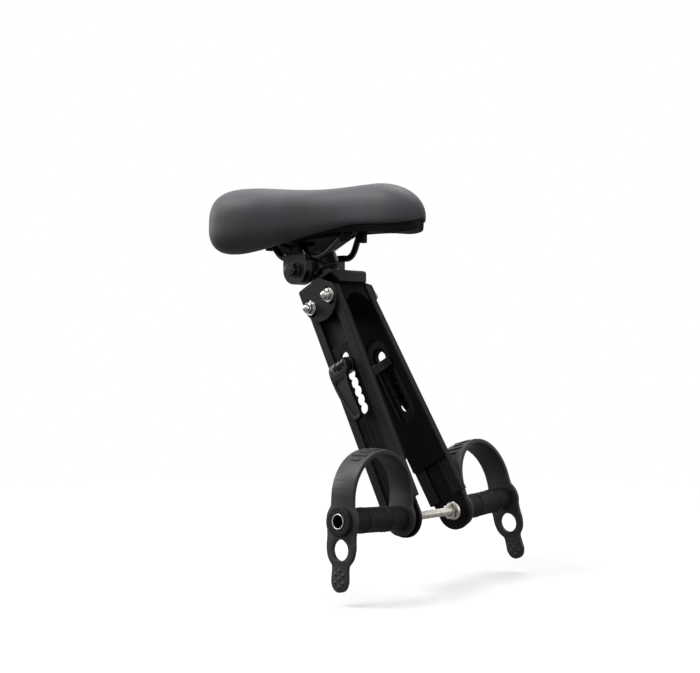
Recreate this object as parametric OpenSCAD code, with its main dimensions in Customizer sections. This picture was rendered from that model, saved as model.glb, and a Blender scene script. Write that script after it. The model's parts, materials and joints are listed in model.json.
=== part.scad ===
// Child's seat that stands on the top tube of an adult's mountain bike. A padded saddle sits on
// a short post, the post on a folded bracket, and two legs with foot pegs straddle the frame.
// +X points to the front of the bike, +Y to the rider's left and +Z up. The origin is the middle
// of the top tube, in the channel of the rubber pad. All lengths are millimetres.

/* [Stance] */
// Angle of the post and legs from upright, in degrees
tilt_angle = 29; // [20:1:36]
// Angle by which each leg leans outward, in degrees
splay_angle = 3.5; // [2:0.5:4.5]
// Distance between the two rails at the height of the top tube
leg_gap = 42.8; // [42.2:0.2:50]
// Diameter of the top tube that the pad is made for
tube_d = 38; // [36:0.5:38.2]

/* [Saddle] */
// Length of the saddle from back to nose
saddle_length = 241; // [226:1:252]
// Width of the saddle across its back
saddle_width = 157; // [144:1:166]
// Distance of the saddle's back end behind the top tube's middle
saddle_back = 146; // [138:1:152]
// Height of the saddle's flat back above the top tube's middle
saddle_top = 135; // [130:1:146]
// Height of the cover from the lowest edge of its wings to its top
cover_height = 68.3; // [64:0.1:72]
// Length of the round at the saddle's back corners
back_round = 42; // [34:1:56]
// Length of the round at the saddle's nose
nose_round = 44; // [36:1:50]
// Thickness of the moulded base in its middle
base_t = 5; // [4:0.5:6]
// Depth of the base where it shows below the cover at the nose
base_nose_depth = 9; // [7:0.5:10]

/* [Saddle rails] */
// Diameter of the steel wire of the saddle rails
rail_wire_d = 6.6; // [6:0.1:7]
// Distance between the saddle rails in their straight part
rail_spacing = 44; // [42:0.5:46]
// Height of the straight part of the saddle rails above the top tube's middle
rail_height = 63; // [61.5:0.5:64]
// Length of the straight part of the saddle rails
rail_flat_length = 50; // [44:1:54]
// Length over which the rails rise to their back sockets
back_run = 15; // [12:1:18]
// Length over which the rails rise to their front sockets
front_run = 22; // [18:1:24]
// Length of the sockets that hold the rails' ends
socket_length = 9; // [8:0.5:12]
// Wall of the sockets that hold the rails' ends
socket_wall = 1.6; // [1.2:0.1:2]

/* [Saddle clamp] */
// Diameter of the clamp's cross bolt
clamp_bolt_d = 8; // [7:0.5:8]
// Distance of the cross bolt's axis below the saddle rails
clamp_drop = 13; // [12:0.5:14]
// Radius of the round bottom of the clamp's jaws
jaw_r = 15; // [13:0.5:16]
// Thickness of the inner jaws, measured along the cross bolt
inner_jaw_t = 6.4; // [5:0.1:6.4]
// Thickness of the outer jaws, measured along the cross bolt
outer_jaw_t = 9; // [8:0.5:10]
// Height of the band round the post
band_height = 18; // [15:0.5:20]
// Wall of the band round the post
band_wall = 3.8; // [3:0.1:4]

/* [Seat post] */
// Diameter of the seat post
post_d = 22.2; // [21:0.1:22.6]
// Height of the post above the top plate
post_height = 31; // [29:0.5:34]
// Diameter of the flange at the foot of the post
post_flange_d = 34; // [30:0.5:38]
// Thickness of the flange at the foot of the post
post_flange_t = 3; // [2:0.5:4]

/* [Top bracket] */
// Thickness of the folded sheet
sheet_t = 3; // [2:0.5:4]
// Height of the top of the folded plate above the top tube's middle
plate_height = 44.5; // [44:0.5:50]
// Length of the plate in front of the post's axis
plate_front = 25; // [24:0.5:30]
// Length of the plate behind the post's axis
plate_rear = 22; // [21:0.5:26]
// Outer radius of the folds
fold_r = 4.5; // [4:0.5:6]
// Depth of the front lip, measured down from the top of the plate
lip_depth = 15; // [12:0.5:17]
// Width of the front lip at its lower edge
lip_bottom_w = 40; // [34:1:44]
// Size of the relief cut at the tongues' front upper corners
tongue_relief = 14; // [8:0.5:15]
// Height of the middle of the tongues' round ends above the top tube's middle
tongue_round_height = 21; // [20:0.5:24]

/* [Bracket bolts] */
// Thread diameter of the bracket bolts
bolt_d = 6; // [5:0.5:6]
// Distance of the bolts from the rails' edges
bolt_edge = 8.5; // [8:0.5:9]
// Height of the bracket bolts above the top tube's middle
bolt_height = 18.5; // [18:0.5:20]
// Length of the slots in the tongues
tongue_slot_length = 20; // [14:0.5:22]
// Diameter of the bolts' low heads
bolt_head_d = 13; // [11:0.5:14]
// Thickness of the bolts' low heads
bolt_head_t = 1.3; // [1:0.1:1.4]
// Outer diameter of the bolts' washers
washer_d = 14; // [12:0.5:14.5]
// Thickness of the bolts' washers
washer_t = 1.4; // [1:0.1:2]
// Width of the dome nuts across flats
dome_nut_af = 10; // [9:0.5:11]
// Height of the dome nuts
dome_nut_h = 9.5; // [8:0.5:11]

/* [Tube pad] */
// Width of the rubber pad across the bike
pad_width = 36.6; // [32:0.2:36.8]
// Height of the pad's lower edges above the top tube's middle
pad_edge_height = 9.3; // [8.5:0.1:10]
// Length of the pad in front of the post's axis
pad_front = 24; // [20:0.5:24.5]
// Length of the pad behind the post's axis
pad_rear = 20; // [18:0.5:21.5]

/* [Outer rails] */
// Width of the rails
rail_w = 44; // [43:0.5:46]
// Depth of the rails, across the bike
rail_depth = 8.2; // [8:0.1:9]
// Thickness of the rails' inner web
rail_web = 2; // [1.5:0.1:2.2]
// Thickness of the rails' side walls
rail_wall = 3; // [2.5:0.1:3.5]
// Thickness of the rails' outer lips
lip_t = 2; // [1.5:0.1:2.2]
// Width of the opening between the lips
lip_opening = 26; // [25.8:0.1:27]
// Height of the rails' top ends above the top tube's middle
rail_top = 27; // [26:0.5:30]
// Distance of the rails' lower ends below the top tube's middle
rail_bottom = 202; // [195:1:205]
// Width of the slot in the rails' web
web_slot_w = 19.4; // [19:0.1:20]

/* [Rail liners] */
// Thickness of the rubber liners
liner_t = 1.5; // [1:0.1:1.7]
// Height of the liners' top edges above the top tube's middle
liner_top = 8; // [4:0.5:8.5]
// Distance of the liners' lower edges below the top tube's middle
liner_bottom = 166; // [150:1:168]
// Width of the window in the liners
liner_window_w = 27; // [26:0.5:30]
// Length of the window in the liners
liner_window_length = 92; // [90:1:96]

/* [Slides] */
// Gap between a slide and its rail on each face
slide_clear = 0.3; // [0.25:0.05:0.4]
// Distance of the slides' top ends below the top tube's middle
slide_top = 30; // [29.5:0.5:32]
// Distance of the foot pegs' axis below the top tube's middle
peg_drop = 216; // [213:0.5:220]
// Diameter of the lobes of the height slot
lobe_d = 11.4; // [10.8:0.1:11.8]
// Distance between neighbouring lobes
lobe_pitch = 9.3; // [8.8:0.1:9.6]
// Number of lobes
lobe_count = 7; // [5:1:7]
// Distance of the first lobe below the top tube's middle
first_lobe = 44.5; // [43.5:0.5:45.5]
// Width of the slot between the lobes
neck_w = 6.8; // [6.7:0.1:7.6]
// Diameter of the slides' bosses
boss_d = 25; // [24:0.1:25.2]
// Number of grooves along the slides' lower part
groove_count = 3; // [2:1:4]
// Width of the grooves
groove_w = 3; // [2:0.5:4]
// Depth of the grooves
groove_depth = 0.6; // [0.4:0.1:0.8]

/* [Cam clamps] */
// Diameter of the studs
stud_d = 6; // [5:0.5:6.4]
// Width of the clamp plates inside the rails' webs
clamp_plate_w = 24; // [23:0.5:26]
// Height of the clamp plates inside the rails' webs
clamp_plate_h = 9; // [8:0.5:9.5]
// Thickness of the clamp plates inside the rails' webs
clamp_plate_t = 3; // [2:0.1:3.4]
// Diameter of the blocks under the levers' cams
cam_block_w = 19; // [17:0.5:22]
// Height of the blocks under the levers' cams
cam_block_h = 14; // [12:0.5:15]
// Thickness of the blocks under the levers' cams
cam_block_t = 3; // [2.5:0.1:3.5]
// Radius of the levers' cams
cam_r = 5.5; // [5:0.1:6]
// Diameter of the levers' pins
cam_pin_d = 4; // [3:0.5:4]
// Width of the levers' forks
fork_w = 16; // [15:0.5:17]
// Length of the levers from the pin to the tip
lever_length = 58; // [52:1:62]
// Width of the levers' arms
lever_w = 14; // [12:0.5:15]
// Thickness of the levers' arms
lever_t = 5; // [4:0.5:6]

/* [Foot pegs] */
// Outer diameter of the peg tubes
peg_tube_d = 18.8; // [18.4:0.1:19]
// Bore of the peg tubes
peg_bore_d = 16; // [15.8:0.1:16.4]
// Thickness of the peg tubes' inner end wall
peg_wall_t = 2.5; // [2:0.1:3]
// Diameter of the clearance hole for the rod
rod_hole_d = 10; // [9.8:0.1:10.4]
// Outer diameter of the rubber grips
grip_d = 23.4; // [22:0.2:25]
// Length of the rubber grips
grip_length = 76.4; // [68:0.2:79]
// Width of the grooves round the grips
grip_groove_w = 2; // [1:0.5:3]
// Depth of the grooves round the grips
grip_groove_depth = 0.8; // [0.5:0.1:1.2]
// Outer diameter of the end caps
cap_d = 27; // [25:0.5:29]
// Length of the end caps
cap_length = 3.8; // [3.6:0.2:6]
// Bore of the end caps
cap_bore_d = 12; // [11:0.5:14]

/* [Foot straps] */
// Thickness of the rubber straps
strap_t = 4; // [3:0.2:4.4]
// Width of the straps over the foot
strap_w = 26; // [24:0.5:28]
// Height of the top of the straps above the foot pegs' axis
strap_height = 64; // [61:1:72]
// Diameter of the ring at the straps' inner end
strap_ring_d = 34; // [32:0.5:36]
// Width of the tab at the straps' outer end
strap_tab_w = 36; // [34:0.5:38]
// Diameter of the holes in the straps
strap_hole_d = 19.2; // [19.1:0.1:19.6]
// Distance between the two holes of the tab
strap_hole_pitch = 25.5; // [24:0.5:28]
// Width of the straps' tails
strap_tail_w = 18; // [17:0.5:21]
// Distance of the tails' ends below the foot pegs' axis
strap_tail_drop = 63; // [60:1:68]
// Angle by which the tail of the left strap swings forward from upright, in degrees
left_strap_swing = 15; // [0:1:20]
// Height of the grip bumps on the tails
bump_h = 1; // [0.6:0.1:1.4]
// Diameter of the grip bumps on the tails
bump_d = 3.2; // [2.4:0.2:3.6]

/* [Cross rod] */
// Thread diameter of the cross rod
rod_d = 8; // [7:0.5:8]
// Width of the flange nuts across flats
flange_nut_af = 13; // [12:0.5:13]
// Flange diameter of the flange nuts
flange_nut_d = 17.9; // [16:0.1:18.2]
// Height of the flange nuts
flange_nut_h = 8; // [7:0.2:9]
// Width of the end nuts across flats
end_nut_af = 12; // [11.5:0.1:12]
// Height of the end nuts
end_nut_h = 6; // [5:0.2:6.4]

/* [Hidden] */
$fn = 64;

// How far every cut runs past the face that it opens, and the gap of a sliding fit
cut = 1;
fit = 0.2;

black_steel = [0.11, 0.11, 0.12];
black_rubber = [0.16, 0.16, 0.17];
black_leather = [0.22, 0.22, 0.24];
bright_steel = [0.80, 0.80, 0.78];

// Sections of the saddle at eleven even steps from the back to the nose. Widths are shares of
// half the width, heights are shares of the cover's height above the lowest edge of its wings.
width_shares = [1, 1, 0.985, 0.885, 0.715, 0.54, 0.415, 0.35, 0.32, 0.307, 0.3];
top_shares = [0.99, 1.01, 1.01, 0.98, 0.95, 0.94, 0.956, 0.975, 0.968, 0.9, 0.77];
equator_shares = [0.37, 0.37, 0.37, 0.39, 0.43, 0.48, 0.52, 0.545, 0.55, 0.55, 0.55];
edge_shares = [0.1, 0.02, 0, 0.05, 0.145, 0.24, 0.315, 0.37, 0.375, 0.355, 0.335];
vault_shares = [0.3, 0.32, 0.34, 0.36, 0.38, 0.4, 0.415, 0.42, 0.415, 0.395, 0.375];
roll_shares = [0.3, 0.3, 0.3, 0.29, 0.26, 0.22, 0.18, 0.15, 0.13, 0.13, 0.13];
base_edge_shares = [0.08, 0.08, 0.08, 0.08, 0.1, 0.2, 0.45, 0.75, 0.85, 1, 1];
station_count = 32;
arc_count = 9;
vault_count = 4;
crown_power = 3.2;
roll_power = 2.2;
base_gap = 0.5;
base_inset = 2.5;
wire_steps = 3;
wire_sides = 16;

// Places in the tilted frame of the post and legs
bolt_spacing = rail_w - 2 * bolt_edge;
tongue_out = rail_depth + fit + sheet_t;
plate_bottom = plate_height - sheet_t;
fold_c = (plate_height - fold_r - (tongue_out - fold_r) * sin(splay_angle)) / cos(splay_angle);
fold_y = leg_gap / 2 + (tongue_out - fold_r) * cos(splay_angle) - fold_c * sin(splay_angle);
slot_bottom = first_lobe + lobe_pitch * (lobe_count - 1);
stud_drop = first_lobe + lobe_pitch;
slide_w = rail_w - 2 * rail_wall - 2 * slide_clear;
slide_in = rail_web + slide_clear;
slide_out = rail_depth - lip_t - slide_clear;
slide_mid = (slide_in + slide_out) / 2;
boss_out = rail_depth + 2 * slide_clear;
cam_block_in = slide_out + slide_clear;
pivot_out = cam_block_in + cam_block_t + cam_r;
strap_in = boss_out + fit;
grip_in = strap_in + strap_t + fit;
tab_in = grip_in + grip_length + fit;
cap_in = tab_in + strap_t + fit;
loop_r = (tab_in - strap_in + strap_t) / 2;
cap_seat = cap_length * 0.45;
rod_c = slide_mid * sin(splay_angle) - peg_drop * cos(splay_angle);
rod_half = leg_gap / 2 + peg_drop * sin(splay_angle)
    + (boss_out + peg_wall_t + end_nut_h + rod_d / 4) * cos(splay_angle);

// Places of the saddle clamp, level with the saddle
bolt_back = post_d / 2 + clamp_bolt_d / 2 + fit * 2;
clamp_z = rail_height - clamp_drop;
clamp_x = -(bolt_back + clamp_z * sin(tilt_angle)) / cos(tilt_angle);
clamp_c = -clamp_x * sin(tilt_angle) + clamp_z * cos(tilt_angle);
jaw_mid = rail_spacing / 2;

module on_axis() rotate([0, -tilt_angle, 0]) children();

// Frame of a leg: x across its width, y outward from the web's inner face, z up along it
module left_leg() on_axis() translate([0, leg_gap / 2, 0]) rotate([splay_angle, 0, 0]) children();

module leg(side) {
    if (side < 0) mirror([0, 1, 0]) left_leg() children();
    else left_leg() children();
}

module both_legs() for (side = [-1, 1]) leg(side) children();

// A flat outline drawn in the leg's x and z, with its inner face at y = inner
module sheet(inner, thickness)
    translate([0, inner + thickness, 0]) rotate([90, 0, 0]) linear_extrude(thickness) children();

// A round bar along the leg's y
module bar(inner, outer, d)
    translate([0, inner, 0]) rotate([-90, 0, 0]) cylinder(d = d, h = outer - inner);

module at_peg() translate([0, 0, -peg_drop]) children();
module at_stud() translate([0, 0, -stud_drop]) children();
module at_pivot() translate([0, pivot_out, -stud_drop]) children();

module slot_outline(w, length) {
    square([w, length - w], center = true);
    for (end = [-1, 1]) translate([0, end * (length - w) / 2]) circle(d = w);
}

module round_square(size, r) {
    square([size[0] - 2 * r, size[1]], center = true);
    square([size[0], size[1] - 2 * r], center = true);
    for (i = [-1, 1], j = [-1, 1])
        translate([i * (size[0] / 2 - r), j * (size[1] / 2 - r)]) circle(r = r);
}

module hexagon(af) circle(d = af / cos(30), $fn = 6);

// A round wire along a smooth curve through a list of points, which runs mostly along x
module wire(points, d) {
    rings = wire_steps * (len(points) - 1);
    path = [for (k = [0:rings]) smooth_at(points, k / rings)];
    loft([for (k = [0:rings]) let (
            run = path[min(k + 1, rings)] - path[max(k - 1, 0)],
            across = cross([0, 1, 0], run) / norm(cross([0, 1, 0], run)),
            side = cross(run / norm(run), across)
        ) [for (i = [0:wire_sides - 1]) let (a = -360 * i / wire_sides)
            path[k] + d / 2 * (cos(a) * across + sin(a) * side)]]);
}

// Smooth value of a table with even steps, at a place from 0 to 1
function smooth_at(shares, at) = let (
        last = len(shares) - 1,
        i = min(floor(at * last), last - 1),
        t = at * last - i,
        p = shares[i],
        q = shares[i + 1],
        m = (q - shares[max(i - 1, 0)]) / 2,
        n = (shares[min(i + 2, last)] - p) / 2
    ) p + m * t + (3 * (q - p) - 2 * m - n) * pow(t, 2) + (2 * (p - q) + m + n) * pow(t, 3);

// Share of the full section that is left at a distance from a rounded end
function end_share(distance, length, power) = distance >= length ? 1
    : pow(max(1 - pow(1 - distance / length, power), 0), 1 / power);

function round_share(at) =
    end_share(at * saddle_length, back_round, 2.3)
    * end_share((1 - at) * saddle_length, nose_round, 2.1);

function saddle_z(shares, at) =
    saddle_top - cover_height + cover_height * smooth_at(shares, at);
function station(i) = 0.5 - 0.5 * cos(180 * (i + 0.5) / (station_count + 1));
function half_width(at) = saddle_width / 2 * smooth_at(width_shares, at) * round_share(at);
function edge_y(at) = half_width(at) * (1 - smooth_at(roll_shares, at));
function toward_equator(z, at) = let (mid = saddle_z(equator_shares, at))
    mid + (z - mid) * pow(round_share(at), 0.8);
function vault_z(at, y) = let (
        edge = toward_equator(saddle_z(edge_shares, at), at),
        vault = toward_equator(saddle_z(vault_shares, at), at)
    ) vault + (edge - vault) * pow(abs(y) / max(edge_y(at), base_gap), 3);

// Half of the cover's section: along the vault, round the rolled edge and over the crown
function cover_half(at) = let (
        w = half_width(at),
        e = edge_y(at),
        mid = saddle_z(equator_shares, at),
        top = toward_equator(saddle_z(top_shares, at), at),
        low = vault_z(at, e)
    ) concat(
        [for (k = [0:vault_count - 1]) let (y = e * k / vault_count) [y, vault_z(at, y)]],
        [for (k = [0:arc_count - 1]) let (a = 90 * k / arc_count)
            [e + (w - e) * pow(sin(a), 2 / roll_power), mid - (mid - low) * pow(cos(a), 2 / roll_power)]],
        [for (k = [0:arc_count]) let (a = 90 * k / arc_count)
            [w * pow(cos(a), 2 / crown_power), mid + (top - mid) * pow(sin(a), 2 / crown_power)]]
    );

// Half of the base's section: its upper face lies under the cover's vault
function base_half(at) = let (
        e = max(edge_y(at) - base_inset, base_inset),
        edge_t = base_nose_depth * smooth_at(base_edge_shares, at)
    ) concat(
        [for (k = [0:vault_count]) let (y = e * k / vault_count)
            [y * (1 - 0.08 * pow(k / vault_count, 6)),
             vault_z(at, y) - base_gap - max(base_t, edge_t)
                + (max(base_t, edge_t) - edge_t) * pow(k / vault_count, 4)]],
        [for (k = [vault_count:-1:0]) let (y = e * k / vault_count) [y, vault_z(at, y) - base_gap]]
    );

function full_ring(half, x) = concat(
    [for (p = half) [x, p[0], p[1]]],
    [for (i = [len(half) - 2:-1:1]) [x, -half[i][0], half[i][1]]]
);

// Solid between rings that all have the same number of points
module loft(rings) {
    n = len(rings[0]);
    polyhedron(
        points = [for (ring = rings, p = ring) p],
        faces = concat(
            [[for (i = [0:n - 1]) i]],
            [for (r = [0:len(rings) - 2], i = [0:n - 1]) let (j = (i + 1) % n)
                each [[r * n + i, (r + 1) * n + i, (r + 1) * n + j],
                      [r * n + i, (r + 1) * n + j, r * n + j]]],
            [[for (i = [n - 1:-1:0]) (len(rings) - 1) * n + i]]
        )
    );
}

function saddle_x(at) = saddle_length * at - saddle_back;

// Sockets under the base, each with its top face just clear of the base's lower face
socket_w = rail_wire_d + 2 * socket_wall;
back_socket_x = clamp_x - rail_flat_length * 0.44 - back_run;
front_socket_x = clamp_x + rail_flat_length * 0.56 + front_run;
back_socket_y = rail_spacing * 0.54;
front_socket_y = rail_spacing * 0.31;
function base_low(x, y) = let (at = (x + saddle_back) / saddle_length)
    vault_z(at, y) - base_gap - max(base_t, base_nose_depth * smooth_at(base_edge_shares, at));
function socket_z(x, y) = min([for (i = [0, 0.5, 1]) base_low(x + i * socket_length, y + socket_w / 2)])
    - socket_w / 2 - 2 * fit;
back_socket_z = socket_z(back_socket_x - socket_length, back_socket_y);
front_socket_z = socket_z(front_socket_x, front_socket_y);

// Places along a bend of the wire: share of its run, and share of its rise
bend_shares = [[-0.45, 0], [0, 0.01], [0.4, 0.3], [0.88, 0.96]];

function bend_points(side, x, run, z, y) = [
    for (p = bend_shares) [
        x + run * p[0],
        side * (rail_spacing / 2 + (y - rail_spacing / 2) * p[1]),
        rail_height + (z - rail_height) * p[1]
    ]
];

// One saddle rail, from inside its back socket to inside its front socket
function rail_points(side) = let (
        back = bend_points(side, back_socket_x + back_run, -back_run, back_socket_z, back_socket_y),
        front = bend_points(side, front_socket_x - front_run, front_run, front_socket_z, front_socket_y)
    ) concat(
        [[back_socket_x - socket_length * 0.85, side * back_socket_y, back_socket_z],
         [back_socket_x - socket_length * 0.3, side * back_socket_y, back_socket_z]],
        [for (i = [len(back) - 1:-1:0]) back[i]],
        front,
        [[front_socket_x + socket_length * 0.3, side * front_socket_y, front_socket_z],
         [front_socket_x + socket_length * 0.85, side * front_socket_y, front_socket_z]]
    );

module saddle_cover() color(black_leather)
    loft([for (i = [0:station_count]) full_ring(cover_half(station(i)), saddle_x(station(i)))]);

module saddle_base() color(black_rubber)
    loft([for (i = [3:station_count - 2])
        full_ring(base_half(station(i)), saddle_x(station(i)))]);

module rail_socket(x, y, z) translate([x, y, z]) difference() {
    cube([socket_length, socket_w, socket_w], center = true);
    rotate([0, 90, 0]) cylinder(d = rail_wire_d + 4 * fit, h = 2 * socket_length, center = true);
}

module rail_sockets() color(black_rubber) for (side = [-1, 1]) {
    rail_socket(back_socket_x - socket_length / 2, side * back_socket_y, back_socket_z);
    rail_socket(front_socket_x + socket_length / 2, side * front_socket_y, front_socket_z);
}

module saddle_rails() color(black_steel)
    for (side = [-1, 1]) wire(rail_points(side), rail_wire_d);

// Saddle clamp: a band on the post, and jaws that the cross bolt presses on the rails
module at_clamp() translate([clamp_x, 0, clamp_z]) children();

module clamp_body() color(black_steel) difference() {
    union() {
        on_axis() translate([0, 0, clamp_c - band_height / 2])
            cylinder(d = post_d + 2 * fit + 2 * band_wall, h = band_height);
        at_clamp() rotate([90, 0, 0])
            cylinder(r = jaw_r - sheet_t, h = rail_spacing - inner_jaw_t * 2 - fit, center = true);
    }
    on_axis() translate([0, 0, clamp_c - jaw_r * 2]) cylinder(d = post_d + 2 * fit, h = jaw_r * 4);
    at_clamp() rotate([90, 0, 0])
        cylinder(d = clamp_bolt_d + 2 * fit, h = rail_spacing, center = true);
}

module jaw_outline() {
    circle(r = jaw_r);
    translate([-jaw_r, 0]) square([2 * jaw_r, clamp_drop + rail_wire_d * 0.3]);
}

module jaw_pair(inner, thickness) for (side = [-1, 1]) difference() {
    at_clamp() translate([0, side * (inner + thickness / 2), 0]) rotate([90, 0, 0])
        linear_extrude(thickness - fit, center = true) jaw_outline();
    at_clamp() rotate([90, 0, 0])
        cylinder(d = clamp_bolt_d + 2 * fit, h = 4 * rail_spacing, center = true);
    translate([clamp_x, side * jaw_mid, rail_height]) rotate([0, 90, 0])
        cylinder(d = rail_wire_d + 2 * fit, h = 4 * jaw_r, center = true);
}

module clamp_inner_jaws() color(black_steel) jaw_pair(jaw_mid - inner_jaw_t, inner_jaw_t);
module clamp_outer_jaws() color(black_steel) jaw_pair(jaw_mid, outer_jaw_t);

clamp_nut_h = clamp_bolt_d * 0.8;
clamp_stack = jaw_mid + outer_jaw_t + washer_t;

module clamp_bolt() color(bright_steel) at_clamp() rotate([90, 0, 0])
    cylinder(d = clamp_bolt_d, h = 2 * (clamp_stack + clamp_nut_h + washer_t / 2), center = true);

module clamp_washers() color(bright_steel) for (side = [-1, 1])
    at_clamp() translate([0, side * (clamp_stack - washer_t / 2), 0]) rotate([90, 0, 0])
        difference() {
            cylinder(d = clamp_bolt_d * 1.9, h = washer_t - fit / 2, center = true);
            cylinder(d = clamp_bolt_d + fit, h = washer_t + cut, center = true);
        }

module clamp_nuts() color(bright_steel) for (side = [-1, 1])
    at_clamp() translate([0, side * (clamp_stack + clamp_nut_h / 2), 0]) rotate([90, 0, 0])
        difference() {
            linear_extrude(clamp_nut_h, center = true) hexagon(clamp_bolt_d * 1.6);
            cylinder(d = clamp_bolt_d + fit / 2, h = clamp_nut_h + cut, center = true);
        }

module seat_post() color(black_steel) on_axis() translate([0, 0, plate_height]) {
    cylinder(d = post_d, h = post_height);
    cylinder(d = post_flange_d, h = post_flange_t);
}

// Folded bracket: plate under the post, tongues outside the rails and a lip in front
function leg_point(out, up) = [
    leg_gap / 2 + out * cos(splay_angle) - up * sin(splay_angle),
    out * sin(splay_angle) + up * cos(splay_angle)
];

tongue_bottom = tongue_round_height - rail_w / 2;

// Area inside the bracket's folded section, at a depth below its outer face
module folded_area(depth) {
    half = [
        leg_point(tongue_out - depth, tongue_bottom - depth),
        leg_point(tongue_out - depth, fold_c),
        [fold_y, plate_height - depth]
    ];
    polygon(concat(half, [for (i = [2:-1:0]) [-half[i][0], half[i][1]]]));
    for (side = [-1, 1]) translate([side * fold_y, plate_height - fold_r]) circle(r = fold_r - depth);
}

// Area behind the front lip and under the plate, at a depth below the outer face
module lip_area(depth) {
    polygon([
        [-depth, plate_height - depth], [plate_front - fold_r, plate_height - depth],
        [plate_front - depth, plate_height - fold_r],
        [plate_front - depth, plate_height - lip_depth - depth],
        [-depth, plate_height - lip_depth - depth]
    ]);
    translate([plate_front - fold_r, plate_height - fold_r]) circle(r = fold_r - depth);
}

// What is cut from a tongue: the corners beside its round end, and a slot for each bolt
module tongue_waste() {
    difference() {
        translate([-rail_w, -rail_w]) square([2 * rail_w, rail_w + tongue_round_height]);
        translate([0, tongue_round_height]) circle(d = rail_w);
    }
    for (end = [-1, 1]) translate([end * bolt_spacing / 2, bolt_height])
        slot_outline(bolt_d + 2 * fit, tongue_slot_length);
    polygon([
        [rail_w / 2 - tongue_relief, plate_height + cut], [rail_w / 2 - tongue_relief, plate_bottom],
        [rail_w / 2, plate_bottom - tongue_relief], [rail_w, plate_bottom - tongue_relief],
        [rail_w, plate_height + cut]
    ]);
}

module top_bracket() color(black_steel) difference() {
    on_axis() {
        rotate([90, 0, 90]) linear_extrude(rail_w, center = true) difference() {
            folded_area(0);
            folded_area(sheet_t);
        }
        rotate([90, 0, 0]) linear_extrude(2 * fold_y, center = true) difference() {
            lip_area(0);
            lip_area(sheet_t);
        }
    }
    both_legs() sheet(tongue_out - sheet_t - cut, fold_r + 2 * cut) tongue_waste();
    on_axis() for (side = [-1, 1])
        translate([rail_w / 2, 0, 0]) rotate([90, 0, 90]) linear_extrude(plate_front)
            polygon([for (p = [
                [fold_y + cut, plate_height - fold_r], [fold_y, plate_height - fold_r],
                [lip_bottom_w / 2, plate_height - lip_depth],
                [lip_bottom_w / 2, plate_height - lip_depth - cut],
                [fold_y + cut, plate_height - lip_depth - cut]
            ]) [side * p[0], p[1]]]);
}

module top_tube_pad() color(black_rubber) on_axis() difference() {
    translate([-pad_rear, -pad_width / 2, pad_edge_height])
        cube([pad_rear + pad_front - sheet_t - fit, pad_width, plate_bottom - pad_edge_height]);
    translate([-2 * pad_rear, 0, 0]) rotate([0, 90, 0]) cylinder(d = tube_d, h = 4 * pad_front);
}

// Bolts that hold the rails to the bracket's tongues, with spacers inside the rails
washer_in = tongue_out;
nut_in = washer_in + washer_t;

module at_bolts() both_legs()
    for (end = [-1, 1]) translate([end * bolt_spacing / 2, 0, bolt_height]) children();

module bracket_bolts() color(bright_steel) at_bolts() {
    bar(-bolt_head_t, 0, bolt_head_d);
    bar(0, nut_in + dome_nut_h * 0.7, bolt_d);
}

module bracket_spacers() color(bright_steel) at_bolts() difference() {
    bar(rail_web, rail_depth - lip_t - fit / 2, bolt_d * 1.7);
    bar(0, rail_depth, bolt_d + fit);
}

module bracket_washers() color(bright_steel) at_bolts() difference() {
    bar(washer_in, nut_in, washer_d);
    bar(0, nut_in + cut, bolt_d + fit);
}

module bracket_dome_nuts() color(bright_steel) at_bolts() difference() {
    union() {
        sheet(nut_in, dome_nut_h * 0.55) hexagon(dome_nut_af);
        bar(nut_in, nut_in + dome_nut_h - dome_nut_af * 0.47, dome_nut_af * 0.94);
        translate([0, nut_in + dome_nut_h - dome_nut_af * 0.47, 0]) sphere(d = dome_nut_af * 0.94);
    }
    translate([0, -dome_nut_af, 0]) bar(0, nut_in + dome_nut_af, dome_nut_af * 2);
    bar(0, nut_in + dome_nut_h * 0.72, bolt_d + fit / 2);
}

// Channel sections of the legs, closed towards the bike's frame
module rail_section() difference() {
    translate([0, rail_depth / 2]) round_square([rail_w, rail_depth], rail_web / 2);
    translate([-rail_w / 2 + rail_wall, rail_web])
        square([rail_w - 2 * rail_wall, rail_depth - rail_web - lip_t]);
    translate([-lip_opening / 2, rail_web]) square([lip_opening, rail_depth]);
}

module outer_rail(side) color(black_steel) leg(side) difference() {
    translate([0, 0, -rail_bottom]) linear_extrude(rail_top + rail_bottom) rail_section();
    translate([0, 0, -first_lobe]) bar(-cut, rail_web + cut, web_slot_w);
    translate([-web_slot_w / 2, -cut, -rail_bottom - cut])
        cube([web_slot_w, rail_web + 2 * cut, rail_bottom - first_lobe + cut]);
    for (end = [-1, 1]) translate([end * bolt_spacing / 2, 0, bolt_height])
        bar(-cut, rail_depth + cut, bolt_d + 2 * fit);
}

module rail_liner(side) color(black_rubber) leg(side) sheet(-liner_t, liner_t) difference() {
    translate([0, (liner_top - liner_bottom) / 2])
        round_square([rail_w, liner_top + liner_bottom], liner_t * 2);
    translate([0, liner_window_w / 2 - first_lobe - liner_window_length / 2 + lobe_d / 2])
        slot_outline(liner_window_w, liner_window_length);
}

// Slides with the height slot of round lobes, and a boss for the foot peg
module slide_outline() difference() {
    union() {
        translate([0, -peg_drop]) circle(d = slide_w);
        translate([-slide_w / 2, -peg_drop]) square([slide_w, peg_drop - slide_top]);
    }
    translate([0, -(first_lobe + slot_bottom) / 2])
        square([neck_w, slot_bottom - first_lobe], center = true);
    for (i = [0:lobe_count - 1]) translate([0, -first_lobe - i * lobe_pitch]) circle(d = lobe_d);
    translate([0, -peg_drop]) circle(d = rod_hole_d);
}

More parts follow.
